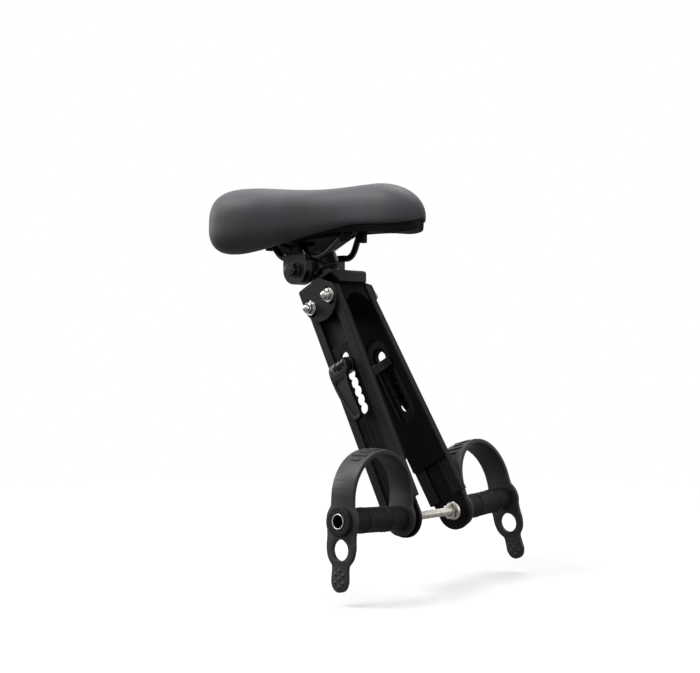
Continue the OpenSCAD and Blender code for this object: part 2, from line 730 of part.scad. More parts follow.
module slide_leg(side) color(black_steel) leg(side) difference() {
    union() {
        sheet(slide_in, slide_out - slide_in) slide_outline();
        at_peg() bar(slide_out, boss_out, boss_d);
    }
    at_peg() bar(0, boss_out + cut, rod_hole_d);
    for (i = [0:groove_count - 1])
        translate([(i - (groove_count - 1) / 2) * groove_w * 2 - groove_w / 2, slide_out - groove_depth,
                   -peg_drop + boss_d / 2 + groove_w])
            cube([groove_w, groove_depth + cut, peg_drop - boss_d / 2 - slot_bottom - lobe_d - groove_w]);
}

// Cam clamp that locks a slide in its rail
module cam_stud(side) color(bright_steel) leg(side) at_stud() difference() {
    union() {
        bar(-clamp_plate_t, pivot_out, stud_d);
        translate([0, pivot_out, 0]) rotate([0, 90, 0])
            cylinder(r = cam_r - fit * 2, h = stud_d * 0.85, center = true);
    }
    translate([0, pivot_out, 0]) rotate([0, 90, 0])
        cylinder(d = cam_pin_d + 2 * fit, h = fork_w, center = true);
}

module clamp_plate(side) color(bright_steel) leg(side) at_stud() difference() {
    sheet(-clamp_plate_t, clamp_plate_t)
        round_square([clamp_plate_w, clamp_plate_h], clamp_plate_t / 2);
    bar(-clamp_plate_t - cut, cut, stud_d + fit);
}

module cam_block(side) color(black_steel) leg(side) at_stud() difference() {
    sheet(cam_block_in, cam_block_t - fit) intersection() {
        circle(d = cam_block_w);
        square([cam_block_w, cam_block_h], center = true);
    }
    bar(0, pivot_out, stud_d + fit);
}

module cam_pin(side) color(bright_steel) leg(side) at_pivot() rotate([0, 90, 0])
    cylinder(d = cam_pin_d, h = fork_w + fit * 4, center = true);

// Outline of a lever's arm, x in shares of its width and z in shares of its length
arm_shares = [
    [0.57, 0.02], [0.57, -0.11], [0.24, -0.24], [0.18, -0.45], [0.21, -0.69], [0.24, -0.88],
    [0.17, -0.975], [-0.07, -1], [-0.32, -0.99], [-0.5, -0.92], [-0.73, -0.725], [-0.97, -0.48],
    [-1.1, -0.24], [-1.1, -0.04], [-0.95, 0.05], [-0.57, 0.07]
];

module lever_arm() translate([0, cam_r / 4 - lever_t / 2 + fit, 0]) sheet(0, lever_t)
    polygon([for (p = arm_shares) [p[0] * lever_w, p[1] * lever_length]]);

module cam_lever(side) color(black_steel) leg(side) at_pivot() difference() {
    union() {
        rotate([0, 90, 0]) cylinder(r = cam_r, h = fork_w, center = true);
        lever_arm();
    }
    translate([-stud_d / 2 - fit * 2, -2 * cam_r, -cam_r - fit])
        cube([stud_d + fit * 4, 4 * cam_r, 4 * cam_r]);
    rotate([0, 90, 0]) cylinder(d = cam_pin_d + fit, h = 4 * fork_w, center = true);
}

// Foot pegs, each a steel tube on its slide with a rubber grip and an end cap
module peg_tube(side) color(black_steel) leg(side) at_peg() difference() {
    bar(boss_out, cap_in + cap_seat, peg_tube_d);
    bar(boss_out + peg_wall_t, cap_in + cap_length, peg_bore_d);
    bar(0, cap_in, rod_hole_d);
}

grip_groove_shares = [0.3, 0.7];

module peg_grip(side) color(black_rubber) leg(side) at_peg() difference() {
    bar(grip_in, grip_in + grip_length, grip_d);
    bar(0, cap_in, peg_tube_d + fit);
    for (share = grip_groove_shares) translate([0, grip_in + share * grip_length, 0]) difference() {
        bar(0, grip_groove_w, grip_d + cut);
        bar(-cut, grip_groove_w + cut, grip_d - 2 * grip_groove_depth);
    }
}

module peg_end_cap(side) color(black_rubber) leg(side) at_peg() difference() {
    bar(cap_in, cap_in + cap_length, cap_d);
    bar(0, cap_in + cap_seat + fit, peg_tube_d + fit);
    bar(0, cap_in + cap_length + cut, cap_bore_d);
}

// Rubber strap over the foot: ring, upright loop and a tab with two holes and a tail
module strap_loop() difference() {
    union() {
        circle(r = loop_r);
        translate([-loop_r, loop_r - strap_height]) square([2 * loop_r, strap_height - loop_r]);
    }
    circle(r = loop_r - strap_t);
    translate([strap_t - loop_r, loop_r - strap_height - cut])
        square([2 * (loop_r - strap_t), strap_height - loop_r + cut]);
}

module strap_tab() difference() {
    union() {
        circle(d = strap_tab_w);
        translate([0, -strap_hole_pitch]) circle(d = strap_tab_w - strap_t);
        translate([(strap_t - strap_tab_w) / 2, -strap_hole_pitch])
            square([strap_tab_w - strap_t, strap_hole_pitch]);
        translate([0, strap_tail_w / 2 - strap_tail_drop]) circle(d = strap_tail_w);
        translate([-strap_tail_w / 2, strap_tail_w / 2 - strap_tail_drop])
            square([strap_tail_w, strap_tail_drop - strap_tail_w / 2 - strap_hole_pitch]);
    }
    circle(d = strap_hole_d);
    translate([0, -strap_hole_pitch]) circle(d = strap_hole_d);
}

module tail_bumps() for (i = [-2:3]) let (in_row = i < 3)
    translate([in_row ? i * bump_d * 0.3 * (i % 2 == 0 ? 2.4 : 4.8) : 0, 0,
               bump_d * (in_row ? (i % 2 == 0 ? 6 : 4.2) : 2) - strap_tail_drop])
        bar(0, strap_t + bump_h, bump_d);

module foot_strap(side) color(black_rubber) leg(side) at_peg()
    rotate([0, tilt_angle - (side > 0 ? left_strap_swing : 0), 0]) {
    translate([-strap_w / 2, strap_in + loop_r, strap_height - loop_r])
        rotate([90, 0, 90]) linear_extrude(strap_w) intersection() {
            strap_loop();
            translate([-2 * loop_r, strap_ring_d / 3 + loop_r - strap_height])
                square([4 * loop_r, strap_height * 2]);
        }
    sheet(strap_in, strap_t) difference() {
        union() {
            circle(d = strap_ring_d);
            translate([-strap_w / 2, 0]) square([strap_w, strap_ring_d / 2]);
        }
        circle(d = strap_hole_d);
    }
    sheet(tab_in, strap_t) difference() {
        union() {
            strap_tab();
            translate([-strap_w / 2, strap_hole_d / 2]) square([strap_w, strap_ring_d / 3]);
        }
        circle(d = strap_hole_d);
    }
    translate([0, tab_in, 0]) tail_bumps();
}

// Threaded rod across the two slides, with a flange nut inside and an end nut outside each
module at_rod() on_axis() translate([0, 0, rod_c]) children();

module threaded_rod() color(bright_steel) at_rod() bar(-rod_half, rod_half, rod_d);

module flange_nut(side) color(bright_steel) leg(side) at_peg() difference() {
    union() {
        bar(slide_in - flange_nut_h / 5, slide_in, flange_nut_d);
        sheet(slide_in - flange_nut_h, flange_nut_h) hexagon(flange_nut_af);
    }
    translate([0, slide_mid, 0]) rotate([-splay_angle, 0, 0])
        bar(-2 * flange_nut_h, flange_nut_h, rod_d + 3 * fit);
}

module rod_end_nut(side) color(bright_steel) leg(side) at_peg() translate([0, slide_mid, 0])
    rotate([-splay_angle, 0, 0]) translate([0, boss_out + peg_wall_t + fit * 4 - slide_mid, 0])
        difference() {
            sheet(0, end_nut_h) hexagon(end_nut_af);
            bar(-cut, end_nut_h + cut, rod_d + 3 * fit);
        }

saddle_cover();
saddle_base();
rail_sockets();
saddle_rails();
clamp_body();
clamp_inner_jaws();
clamp_outer_jaws();
clamp_bolt();
clamp_washers();
clamp_nuts();
seat_post();
top_bracket();
top_tube_pad();
bracket_bolts();
bracket_spacers();
bracket_washers();
bracket_dome_nuts();
outer_rail(-1);  // outer_rail_right
outer_rail(1);  // outer_rail_left
rail_liner(-1);  // rail_liner_right
rail_liner(1);  // rail_liner_left
cam_stud(-1);  // cam_stud_right
cam_stud(1);  // cam_stud_left
clamp_plate(-1);  // clamp_plate_right
clamp_plate(1);  // clamp_plate_left
cam_block(-1);  // cam_block_right
cam_block(1);  // cam_block_left
cam_lever(-1);  // cam_lever_right
cam_lever(1);  // cam_lever_left
cam_pin(-1);  // cam_pin_right
cam_pin(1);  // cam_pin_left
slide_leg(-1);  // slide_leg_right
slide_leg(1);  // slide_leg_left
peg_tube(-1);  // peg_tube_right
peg_tube(1);  // peg_tube_left
peg_grip(-1);  // peg_grip_right
peg_grip(1);  // peg_grip_left
peg_end_cap(-1);  // peg_end_cap_right
peg_end_cap(1);  // peg_end_cap_left
foot_strap(-1);  // foot_strap_right
foot_strap(1);  // foot_strap_left
threaded_rod();
flange_nut(-1);  // flange_nut_right
flange_nut(1);  // flange_nut_left
rod_end_nut(-1);  // rod_end_nut_right
rod_end_nut(1);  // rod_end_nut_left
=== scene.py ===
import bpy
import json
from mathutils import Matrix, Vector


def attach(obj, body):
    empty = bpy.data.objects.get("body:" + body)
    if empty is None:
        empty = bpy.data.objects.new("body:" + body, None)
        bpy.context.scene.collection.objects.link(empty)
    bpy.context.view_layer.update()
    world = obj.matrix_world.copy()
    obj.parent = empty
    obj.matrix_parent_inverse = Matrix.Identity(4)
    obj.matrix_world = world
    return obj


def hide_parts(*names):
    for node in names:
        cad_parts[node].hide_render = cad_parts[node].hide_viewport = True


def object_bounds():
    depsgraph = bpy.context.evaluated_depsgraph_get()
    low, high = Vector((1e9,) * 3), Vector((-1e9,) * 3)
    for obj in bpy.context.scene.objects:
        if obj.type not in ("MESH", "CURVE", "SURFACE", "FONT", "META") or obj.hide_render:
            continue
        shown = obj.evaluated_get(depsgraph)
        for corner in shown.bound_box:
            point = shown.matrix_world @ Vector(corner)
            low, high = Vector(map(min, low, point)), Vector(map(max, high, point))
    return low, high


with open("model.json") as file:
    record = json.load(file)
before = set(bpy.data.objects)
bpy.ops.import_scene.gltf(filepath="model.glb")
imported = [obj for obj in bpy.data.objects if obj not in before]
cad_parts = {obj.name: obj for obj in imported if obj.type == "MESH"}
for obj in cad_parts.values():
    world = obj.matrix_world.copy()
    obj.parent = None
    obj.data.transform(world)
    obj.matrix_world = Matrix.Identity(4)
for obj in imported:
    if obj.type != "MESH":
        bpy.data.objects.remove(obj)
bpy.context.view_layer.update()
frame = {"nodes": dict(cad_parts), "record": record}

import bmesh
import bpy
import json
import math
from mathutils import Matrix, Vector

print("frame loaded:", len(frame["nodes"]), "solids")

# All sizes below are millimetres, like the solids; addPiece scales to metres
mm = 0.001
fit = 0.2  # clearance between pieces that sit on each other

stance = {
    "tilt": 29, "splay": 3.5, "legGap": 42.8, "studDrop": 53.8, "pegDrop": 216,
    "bracketBoltHeight": 18.5, "bracketBoltSpacing": 27,
}
channel = {"depth": 8.2, "web": 2, "lip": 2, "clear": 0.3}  # a leg's rail, with the slide inside
slideIn = channel["web"] + channel["clear"]
slideOut = channel["depth"] - channel["lip"] - channel["clear"]
bossOut = channel["depth"] + 2 * channel["clear"]

# Places along a foot peg, outward from its boss
peg = {"wall": 2.5, "endNut": 6, "strapThickness": 4, "gripLength": 76.4}
strapIn = bossOut + fit
gripIn = strapIn + peg["strapThickness"] + fit
tabIn = gripIn + peg["gripLength"] + fit
capIn = tabIn + peg["strapThickness"] + fit


def turn(degrees, axis):
    return Matrix.Rotation(math.radians(degrees), 4, axis)


def move(x, y, z):
    return Matrix.Translation((x, y, z))


onAxis = turn(-stance["tilt"], "Y")
outward = turn(-90, "X")  # takes a lathe's own axis to a leg's outward axis
sides = {"right": -1, "left": 1}


def legFrame(side):  # x across the leg, y outward from the rail's web, z up along it
    mirror = Matrix.Diagonal((1, sides[side], 1, 1))
    return mirror @ onAxis @ move(0, stance["legGap"] / 2, 0) @ turn(stance["splay"], "X")


def pegFrame(side):
    return legFrame(side) @ move(0, 0, -stance["pegDrop"])


# Shader maths: a Link is one socket, and sums of Links become Math nodes
class Link:
    def __init__(self, tree, socket=None):
        self.tree, self.socket = tree, socket

    def make(self, kind, settings, values, output=0):
        node = self.tree.nodes.new("ShaderNode" + kind)
        for name, setting in settings.items():
            setattr(node, name, setting)
        for name, value in values.items():
            if isinstance(value, Link):
                self.tree.links.new(value.socket, node.inputs[name])
            else:
                node.inputs[name].default_value = value
        return Link(self.tree, node.outputs[output] if node.outputs else None)

    def maths(self, operation, *values):
        return self.make("Math", {"operation": operation}, dict(enumerate(values)))

    def __add__(self, other):
        return self.maths("ADD", self, other)

    def __sub__(self, other):
        return self.maths("SUBTRACT", self, other)

    def __rsub__(self, other):
        return self.maths("SUBTRACT", other, self)

    def __mul__(self, other):
        return self.maths("MULTIPLY", self, other)

    __radd__ = __add__
    __rmul__ = __mul__

    def noise(self, cell, detail=2):  # cell is the size of a blotch
        return self.make("TexNoise", {}, {"Vector": self, "Scale": 1 / (cell * mm), "Detail": detail})

    def cells(self, cell, feature="F1"):
        return self.make("TexVoronoi", {"feature": feature}, {"Vector": self, "Scale": 1 / (cell * mm)})

    def ramp(self, low, high):  # 0 below low, 1 above high
        return self.make("MapRange", {}, {"Value": self, "From Min": low, "From Max": high})

    def blend(self, first, second):  # a Mix node's colours are its inputs 6 and 7, and output 2
        return self.make("Mix", {"data_type": "RGBA"}, {0: self, 6: first, 7: second}, 2)


def newFinish(name):
    material = bpy.data.materials.new(name)
    material.use_nodes = True
    material.node_tree.nodes.clear()
    start = Link(material.node_tree)
    return material, start, start.make("TexCoord", {}, {}, "Object")


def surface(start, look, colour, roughness, height, sockets):
    # height is what the bump reads, relief its size; a look's edge rounds the corners that light catches
    bump = {"Height": height, "Distance": look["relief"] * mm, "Strength": 1}
    if "edge" in look:
        bump["Normal"] = start.make("Bevel", {"samples": bevelSamples}, {"Radius": look["edge"] * mm})
    values = {"Base Color": colour, "Roughness": roughness, "Normal": start.make("Bump", {}, bump)}
    values.update(sockets)
    shader = start.make("BsdfPrincipled", {}, values)
    start.make("OutputMaterial", {}, {"Surface": shader})


def grey(value, tint=(1, 1, 1)):
    return tuple(value * part for part in tint) + (1,)


bevelSamples = 6
# Sizes of the marks that the finishes share
marks = {"cloud": 38, "scuff": 16, "dust": 22, "speck": 0.35, "tarnish": 6, "scratch": 0.8, "bloom": 12}

saddleLook = {
    "low": grey(0.036, (1, 0.99, 1.12)), "high": grey(0.066, (1, 0.98, 1.13)),
    "roughness": 0.48, "shine": 0.28, "grain": 0.75, "pore": 0.28, "relief": 0.035,
    "sheen": 0.12, "sheenRoughness": 0.35, "sheenTint": (0.86, 0.84, 0.95, 1),
}


def saddleSkin(look):
    material, start, place = newFinish("saddleSkin")
    grain = place.cells(look["grain"], "SMOOTH_F1")
    creases = grain.ramp(0.15, 0.75)
    pores = place.noise(look["pore"], 1)
    cloud = place.noise(marks["cloud"], 3).ramp(0.3, 0.7)
    colour = (cloud * 0.7 + creases * 0.3).blend(look["low"], look["high"])
    roughness = look["roughness"] + (1 - creases) * 0.1 + cloud * 0.06
    surface(start, look, colour, roughness, creases * 0.8 + pores * 0.3, {
        "Specular IOR Level": look["shine"], "Sheen Weight": look["sheen"],
        "Sheen Roughness": look["sheenRoughness"], "Sheen Tint": look["sheenTint"],
    })
    return material


plasticLook = {
    "low": grey(0.005), "high": grey(0.011), "roughness": 0.55, "shine": 0.1, "spark": 0.45,
    "relief": 0.02, "edge": 0.5,
}


def mouldedPlastic(look):
    material, start, place = newFinish("mouldedPlastic")
    spark = place.noise(look["spark"], 3)
    scuff = place.noise(marks["scuff"], 4).ramp(0.52, 0.75)
    colour = scuff.blend(look["low"], look["high"])
    roughness = look["roughness"] + spark * 0.12
    surface(start, look, colour, roughness, spark, {"Specular IOR Level": look["shine"]})
    return material


# Each coat's lighter edge grey below is a painted highlight, laid along its rounded edges
coatLooks = {
    "powderCoat": {
        "low": grey(0.008), "high": grey(0.013), "rub": grey(0.072), "roughness": 0.46, "shine": 0.11,
        "peel": 1.3, "relief": 0.03, "edge": 0.6,
    },
    "slideCoat": {
        "low": grey(0.005), "high": grey(0.01), "rub": grey(0.048), "roughness": 0.3, "shine": 0.08,
        "peel": 1.8, "relief": 0.02, "edge": 0.4,
    },
    "wirePaint": {
        "low": grey(0.005), "high": grey(0.01), "rub": grey(0.096), "roughness": 0.2, "shine": 0.5,
        "peel": 2.2, "relief": 0.015, "edge": 0.3,
    },
    "clampSteel": {
        "low": grey(0.006), "high": grey(0.016), "rub": grey(0.32), "roughness": 0.28, "shine": 0.3,
        "peel": 0.9, "relief": 0.03, "edge": 0.5,
    },
    "leverSteel": {
        "low": grey(0.005), "high": grey(0.011), "rub": grey(0.096), "roughness": 0.24, "shine": 0.3,
        "peel": 1.6, "relief": 0.02, "edge": 0.4,
    },
}
rubReach = 1.2  # how far past its rounded edge a coat gets its painted highlight


def paintedEdgeHighlight(start, look, colour):
    # a painted highlight: an edge shows where the normal of a rounded copy leaves the true one, and there the
    # colour turns to a lighter grey
    reach = look["edge"] * rubReach * mm
    rounded = start.make("Bevel", {"samples": bevelSamples}, {"Radius": reach})
    true = start.make("NewGeometry", {}, {}, "Normal")
    match = start.make("VectorMath", {"operation": "DOT_PRODUCT"}, {0: rounded, 1: true}, 1)
    return (1 - match).ramp(0.01, 0.12).blend(colour, look["rub"])


def paintedMetal(name, look):
    material, start, place = newFinish(name)
    peel = place.noise(look["peel"], 2)
    dust = place.noise(marks["dust"], 5).ramp(0.45, 0.75)
    speck = place.noise(marks["speck"], 2).ramp(0.62, 0.7)
    colour = (dust * 0.7 + speck * 0.3).blend(look["low"], look["high"])
    # painted highlight along the edges
    colour = paintedEdgeHighlight(start, look, colour)
    roughness = look["roughness"] + dust * 0.1 + peel * 0.06
    surface(start, look, colour, roughness, peel, {"Specular IOR Level": look["shine"]})
    return material


steelLooks = {
    "stainless": {
        "low": grey(0.42, (1, 0.985, 0.95)), "high": grey(0.6, (1, 0.99, 0.96)), "roughness": 0.17,
        "stretch": (1, 12, 1), "relief": 0.008, "edge": 0.25,
    },
    "zincSteel": {
        "low": grey(0.48, (1, 0.93, 0.82)), "high": grey(0.7, (1, 0.96, 0.88)), "roughness": 0.3,
        "stretch": (1, 12, 1), "relief": 0.008, "edge": 0.2,
    },
}


def bareSteel(name, look):
    material, start, place = newFinish(name)
    stretched = place.make("Mapping", {}, {"Vector": place, "Scale": look["stretch"]})
    scratch = stretched.noise(marks["scratch"], 3)
    tarnish = place.noise(marks["tarnish"], 4).ramp(0.4, 0.7)
    colour = tarnish.blend(look["high"], look["low"])
    roughness = look["roughness"] + tarnish * 0.12 + scratch * 0.1
    surface(start, look, colour, roughness, scratch, {"Metallic": 1})
    return material


rubberLooks = {
    "padRubber": {
        "low": grey(0.003), "high": grey(0.006), "roughness": 0.62, "shine": 0.04, "grain": 0.8,
        "mottle": 0.4, "relief": 0.03, "edge": 0.6,
    },
    "strapRubber": {
        "low": grey(0.022, (1, 1, 1.04)), "high": grey(0.038, (1, 1, 1.05)), "roughness": 0.44,
        "shine": 0.28, "grain": 0.5, "mottle": 0.4, "relief": 0.012, "edge": 0.3,
    },
    "gripRubber": {
        # the grip's lighter edge grey is a painted highlight on its edges and groove lips
        "low": grey(0.003), "high": grey(0.032), "rub": grey(0.144), "roughness": 0.5, "shine": 0.1,
        "grain": 1.3, "mottle": 0.9, "relief": 0.3, "edge": 0.4,
    },
}


def rubber(name, look):
    material, start, place = newFinish(name)
    grain = place.cells(look["grain"])
    bloom = place.noise(marks["bloom"], 4).ramp(0.4, 0.72)
    colour = (bloom * (1 - look["mottle"]) + grain * look["mottle"]).blend(look["low"], look["high"])
    # a look with a lighter edge grey gets a painted highlight along its edges
    if "rub" in look:
        colour = paintedEdgeHighlight(start, look, colour)
    roughness = look["roughness"] + bloom * 0.12
    surface(start, look, colour, roughness, 1 - grain, {"Specular IOR Level": look["shine"]})
    return material


finishes = {"saddle_skin": saddleSkin(saddleLook), "moulded_plastic": mouldedPlastic(plasticLook)}
slotNames = {
    "powder_coat": "powderCoat", "slide_coat": "slideCoat", "wire_paint": "wirePaint",
    "clamp_steel": "clampSteel", "lever_steel": "leverSteel",
    "stainless": "stainless", "zinc_steel": "zincSteel",
    "pad_rubber": "padRubber", "strap_rubber": "strapRubber", "grip_rubber": "gripRubber",
}
for slotName, name in slotNames.items():
    if name in coatLooks:
        finishes[slotName] = paintedMetal(name, coatLooks[name])
    elif name in steelLooks:
        finishes[slotName] = bareSteel(name, steelLooks[name])
    else:
        finishes[slotName] = rubber(name, rubberLooks[name])
print("finishes mixed:", len(finishes))

# The solids that stay in view get their finishes and smooth shading
solidSharp = 32  # degrees; a sharper corner than this keeps its edge

nodeSlots = {part["node"]: part["material_slot"] for part in frame["record"]["subparts"]}
for nodeName, piece in frame["nodes"].items():
    piece.data.materials.clear()
    piece.data.materials.append(finishes[nodeSlots[nodeName]])
    piece.data.shade_smooth()
    piece.data.set_sharp_from_angle(angle=math.radians(solidSharp))


# Mesh making; points closer than a weld become one
ringWeld, plateWeld = 1e-5, 1e-4


def meshOf(name, points, faces):
    mesh = bpy.data.meshes.new(name)
    mesh.from_pydata([tuple(p) for p in points], [], faces)
    work = bmesh.new()
    work.from_mesh(mesh)
    bmesh.ops.remove_doubles(work, verts=work.verts, dist=ringWeld)
    bmesh.ops.recalc_face_normals(work, faces=work.faces)
    work.to_mesh(mesh)
    work.free()
    return mesh


def joinRings(name, rings, loop=False):
    # rings of equal length, closed by a cap at each end, or end to end in a loop
    count, around = len(rings), len(rings[0])
    points = [point for ring in rings for point in ring]
    faces = []
    for r in range(count if loop else count - 1):
        for i in range(around):
            j, s = (i + 1) % around, (r + 1) % count
            faces.append((r * around + i, r * around + j, s * around + j, s * around + i))
    if not loop:
        faces.append(tuple(range(around)))
        faces.append(tuple(reversed(range((count - 1) * around, count * around))))
    return meshOf(name, points, faces)


def lathe(name, profile, loop=True, around=64):
    # profile is a list of (radius, height); the axis is z
    rings = []
    for radius, height in profile:
        rings.append([(radius * math.cos(a), radius * math.sin(a), height)
                      for a in (2 * math.pi * i / around for i in range(around))])
    return joinRings(name, rings, loop)


def corner(radius, height, size, start, end, steps=4):
    # a rounded corner for a profile, from one angle to another about its own middle
    return [(radius + size * math.cos(math.radians(start + (end - start) * i / steps)),
             height + size * math.sin(math.radians(start + (end - start) * i / steps)))
            for i in range(steps + 1)]


def smoothLoop(points, steps):
    # a closed smooth line through a loop of points
    line = []
    for i in range(len(points)):
        before, a, b, after = (Vector(points[(i + k) % len(points)]) for k in (-1, 0, 1, 2))
        for k in range(steps):
            t = k / steps
            line.append(0.5 * (2 * a + (b - before) * t + (2 * before - 5 * a + 4 * b - after) * t ** 2
                               + (3 * a - before - 3 * b + after) * t ** 3))
    return line


def circle(x, y, radius, count=48):
    return [(x + radius * math.cos(2 * math.pi * i / count), y + radius * math.sin(2 * math.pi * i / count))
            for i in range(count)]


plateBevel = {"steps": 2, "sharpest": 60}  # an edge is rounded where its faces turn by more degrees


def plate(name, outline, holes, low, high, edge):
    # flat plate between two heights, with rounded edges and any holes
    curve = bpy.data.curves.new(name, "CURVE")
    curve.dimensions = "2D"
    curve.fill_mode = "BOTH"
    curve.extrude = (high - low) / 2
    for loop in [outline] + holes:
        spline = curve.splines.new("POLY")
        spline.points.add(len(loop) - 1)
        for point, (x, y) in zip(spline.points, loop):
            point.co = (x, y, 0, 1)
        spline.use_cyclic_u = True
    holder = bpy.data.objects.new(name, curve)
    bpy.context.scene.collection.objects.link(holder)
    mesh = bpy.data.meshes.new_from_object(holder.evaluated_get(bpy.context.evaluated_depsgraph_get()))
    bpy.data.objects.remove(holder)
    bpy.data.curves.remove(curve)
    mesh.transform(move(0, 0, (low + high) / 2))
    work = bmesh.new()
    work.from_mesh(mesh)
    bmesh.ops.remove_doubles(work, verts=work.verts, dist=plateWeld)
    bmesh.ops.recalc_face_normals(work, faces=work.faces)
    turned = math.radians(plateBevel["sharpest"])
    rims = [e for e in work.edges if len(e.link_faces) == 2 and e.calc_face_angle() > turned]
    bmesh.ops.bevel(work, geom=rims, offset=edge, segments=plateBevel["steps"], profile=0.5,
                    affect="EDGES", clamp_overlap=True)
    work.to_mesh(mesh)
    work.free()
    return mesh


def block(name, size, edge, segments=2):
    work = bmesh.new()
    bmesh.ops.create_cube(work, size=1)
    bmesh.ops.scale(work, vec=size, verts=work.verts)
    bmesh.ops.bevel(work, geom=work.edges[:], offset=edge, segments=segments, profile=0.5, affect="EDGES")
    mesh = bpy.data.meshes.new(name)
    work.to_mesh(mesh)
    work.free()
    return mesh


def merge(name, parts):
    # one mesh from several, each with its own place
    whole = bmesh.new()
    for mesh, place in parts:
        copy = mesh.copy()
        copy.transform(place)
        if place.determinant() < 0:
            copy.flip_normals()
        whole.from_mesh(copy)
        bpy.data.meshes.remove(copy)
    mesh = bpy.data.meshes.new(name)
    whole.to_mesh(mesh)
    whole.free()
    return mesh


def addPiece(name, mesh, place, body, slotName, replaced=(), sharp=35):
    mesh.transform(Matrix.Scale(mm, 4) @ place)
    if place.determinant() < 0:
        mesh.flip_normals()
    mesh.materials.append(finishes[slotName])
    mesh.shade_smooth()
    mesh.set_sharp_from_angle(angle=math.radians(sharp))
    piece = bpy.data.objects.new(name, mesh)
    bpy.context.scene.collection.objects.link(piece)
    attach(piece, body)
    if replaced:
        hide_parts(*replaced)
    return piece


# Saddle, in the same sections as its solid but drawn finer; the lists run from back to nose
saddle = {
    "length": 241, "width": 157, "back": 146, "top": 135, "coverHeight": 68.3,
    "backRound": 37, "backPower": 2.3, "noseRound": 44, "nosePower": 2.1, "noseDrop": 58, "dropPower": 2,
    "flatten": 0.8, "rollPower": 2.2, "vaultPower": 3, "leastWidth": 0.3,
    "stations": 84, "endStation": 0.3, "vaultSteps": 10, "rollSteps": 12, "crownSteps": 24,
    "crownPowers": [3.2, 3.2, 3.2, 3.1, 2.9, 2.7, 2.5, 2.35, 2.25, 2.15, 2.1],
    "widths": [1, 1, 0.985, 0.885, 0.715, 0.54, 0.415, 0.35, 0.32, 0.307, 0.3],
    "tops": [1.005, 1.03, 1.03, 1, 0.97, 0.955, 0.96, 0.975, 0.985, 0.985, 0.985],
    "equators": [0.37, 0.37, 0.37, 0.39, 0.43, 0.47, 0.5, 0.51, 0.5, 0.48, 0.46],
    "edges": [0.1, 0.02, 0, 0.05, 0.145, 0.24, 0.315, 0.37, 0.375, 0.355, 0.335],
    "vaults": [0.3, 0.32, 0.34, 0.36, 0.38, 0.4, 0.415, 0.42, 0.415, 0.395, 0.375],
    "rolls": [0.3, 0.3, 0.3, 0.29, 0.26, 0.22, 0.18, 0.15, 0.13, 0.13, 0.13],
}


def smoothAt(table, at):  # a smooth line through a table's values, read at a share of its length
    last = len(table) - 1
    i = min(math.floor(at * last), last - 1)
    t = at * last - i
    p, q = table[i], table[i + 1]
    m, n = (q - table[max(i - 1, 0)]) / 2, (table[min(i + 2, last)] - p) / 2
    return p + m * t + (3 * (q - p) - 2 * m - n) * t ** 2 + (2 * (p - q) + m + n) * t ** 3


def endShare(distance, length, power):  # how full a rounded end is, this far from its tip
    if distance >= length:
        return 1
    return max(1 - (1 - distance / length) ** power, 0) ** (1 / power)


def backShare(at):
    return endShare(at * saddle["length"], saddle["backRound"], saddle["backPower"])


def roundShare(at):
    return backShare(at) * endShare((1 - at) * saddle["length"], saddle["noseRound"], saddle["nosePower"])


def saddleHeight(table, at):
    return saddle["top"] - saddle["coverHeight"] * (1 - smoothAt(saddle[table], at))


def towardEquator(z, at):
    middle = saddleHeight("equators", at)
    return middle + (z - middle) * roundShare(at) ** saddle["flatten"]


def crownHeight(at):
    middle = saddleHeight("equators", at)
    rise = (saddleHeight("tops", at) - middle) * backShare(at) ** saddle["flatten"]
    return middle + rise * endShare((1 - at) * saddle["length"], saddle["noseDrop"], saddle["dropPower"])


def halfWidth(at):
    return saddle["width"] / 2 * smoothAt(saddle["widths"], at) * roundShare(at)


def edgeWidth(at):
    return halfWidth(at) * (1 - smoothAt(saddle["rolls"], at))


def vaultHeight(at, y):
    edge = towardEquator(saddleHeight("edges", at), at)
    vault = towardEquator(saddleHeight("vaults", at), at)
    out = abs(y) / max(edgeWidth(at), saddle["leastWidth"])
    return vault + (edge - vault) * out ** saddle["vaultPower"]


def saddleX(at):
    return saddle["length"] * at - saddle["back"]


def saddleStation(i, count):  # closer together toward both ends
    inset = saddle["endStation"]
    return 0.5 - 0.5 * math.cos(math.pi * (i + inset) / (count + 2 * inset))


def wholeRing(half, x):
    return [Vector((x, y, z)) for y, z in half] + [Vector((x, -y, z)) for y, z in half[-2:0:-1]]


def coverRing(at):
    # up one side of a section: the vault, the rolled lower edge, then the crown
    w, e = halfWidth(at), edgeWidth(at)
    middle, low, top = saddleHeight("equators", at), vaultHeight(at, e), crownHeight(at)
    roll, crown = 2 / saddle["rollPower"], 2 / smoothAt(saddle["crownPowers"], at)
    half = []
    for k in range(saddle["vaultSteps"]):
        y = e * k / saddle["vaultSteps"]
        half.append((y, vaultHeight(at, y)))
    for k in range(saddle["rollSteps"]):
        a = math.pi / 2 * k / saddle["rollSteps"]
        half.append((e + (w - e) * math.sin(a) ** roll, middle - (middle - low) * math.cos(a) ** roll))
    for k in range(saddle["crownSteps"] + 1):
        a = math.pi / 2 * k / saddle["crownSteps"]
        half.append((w * max(math.cos(a), 0) ** crown, middle + (top - middle) * math.sin(a) ** crown))
    return wholeRing(half, saddleX(at))


coverRings = [coverRing(saddleStation(i, saddle["stations"])) for i in range(saddle["stations"] + 1)]
cover = addPiece("saddle_cover_skin", joinRings("saddleCover", coverRings), Matrix.Identity(4), "root",
                 "saddle_skin", ["saddle_cover"], 60)
print("saddle cover drawn")

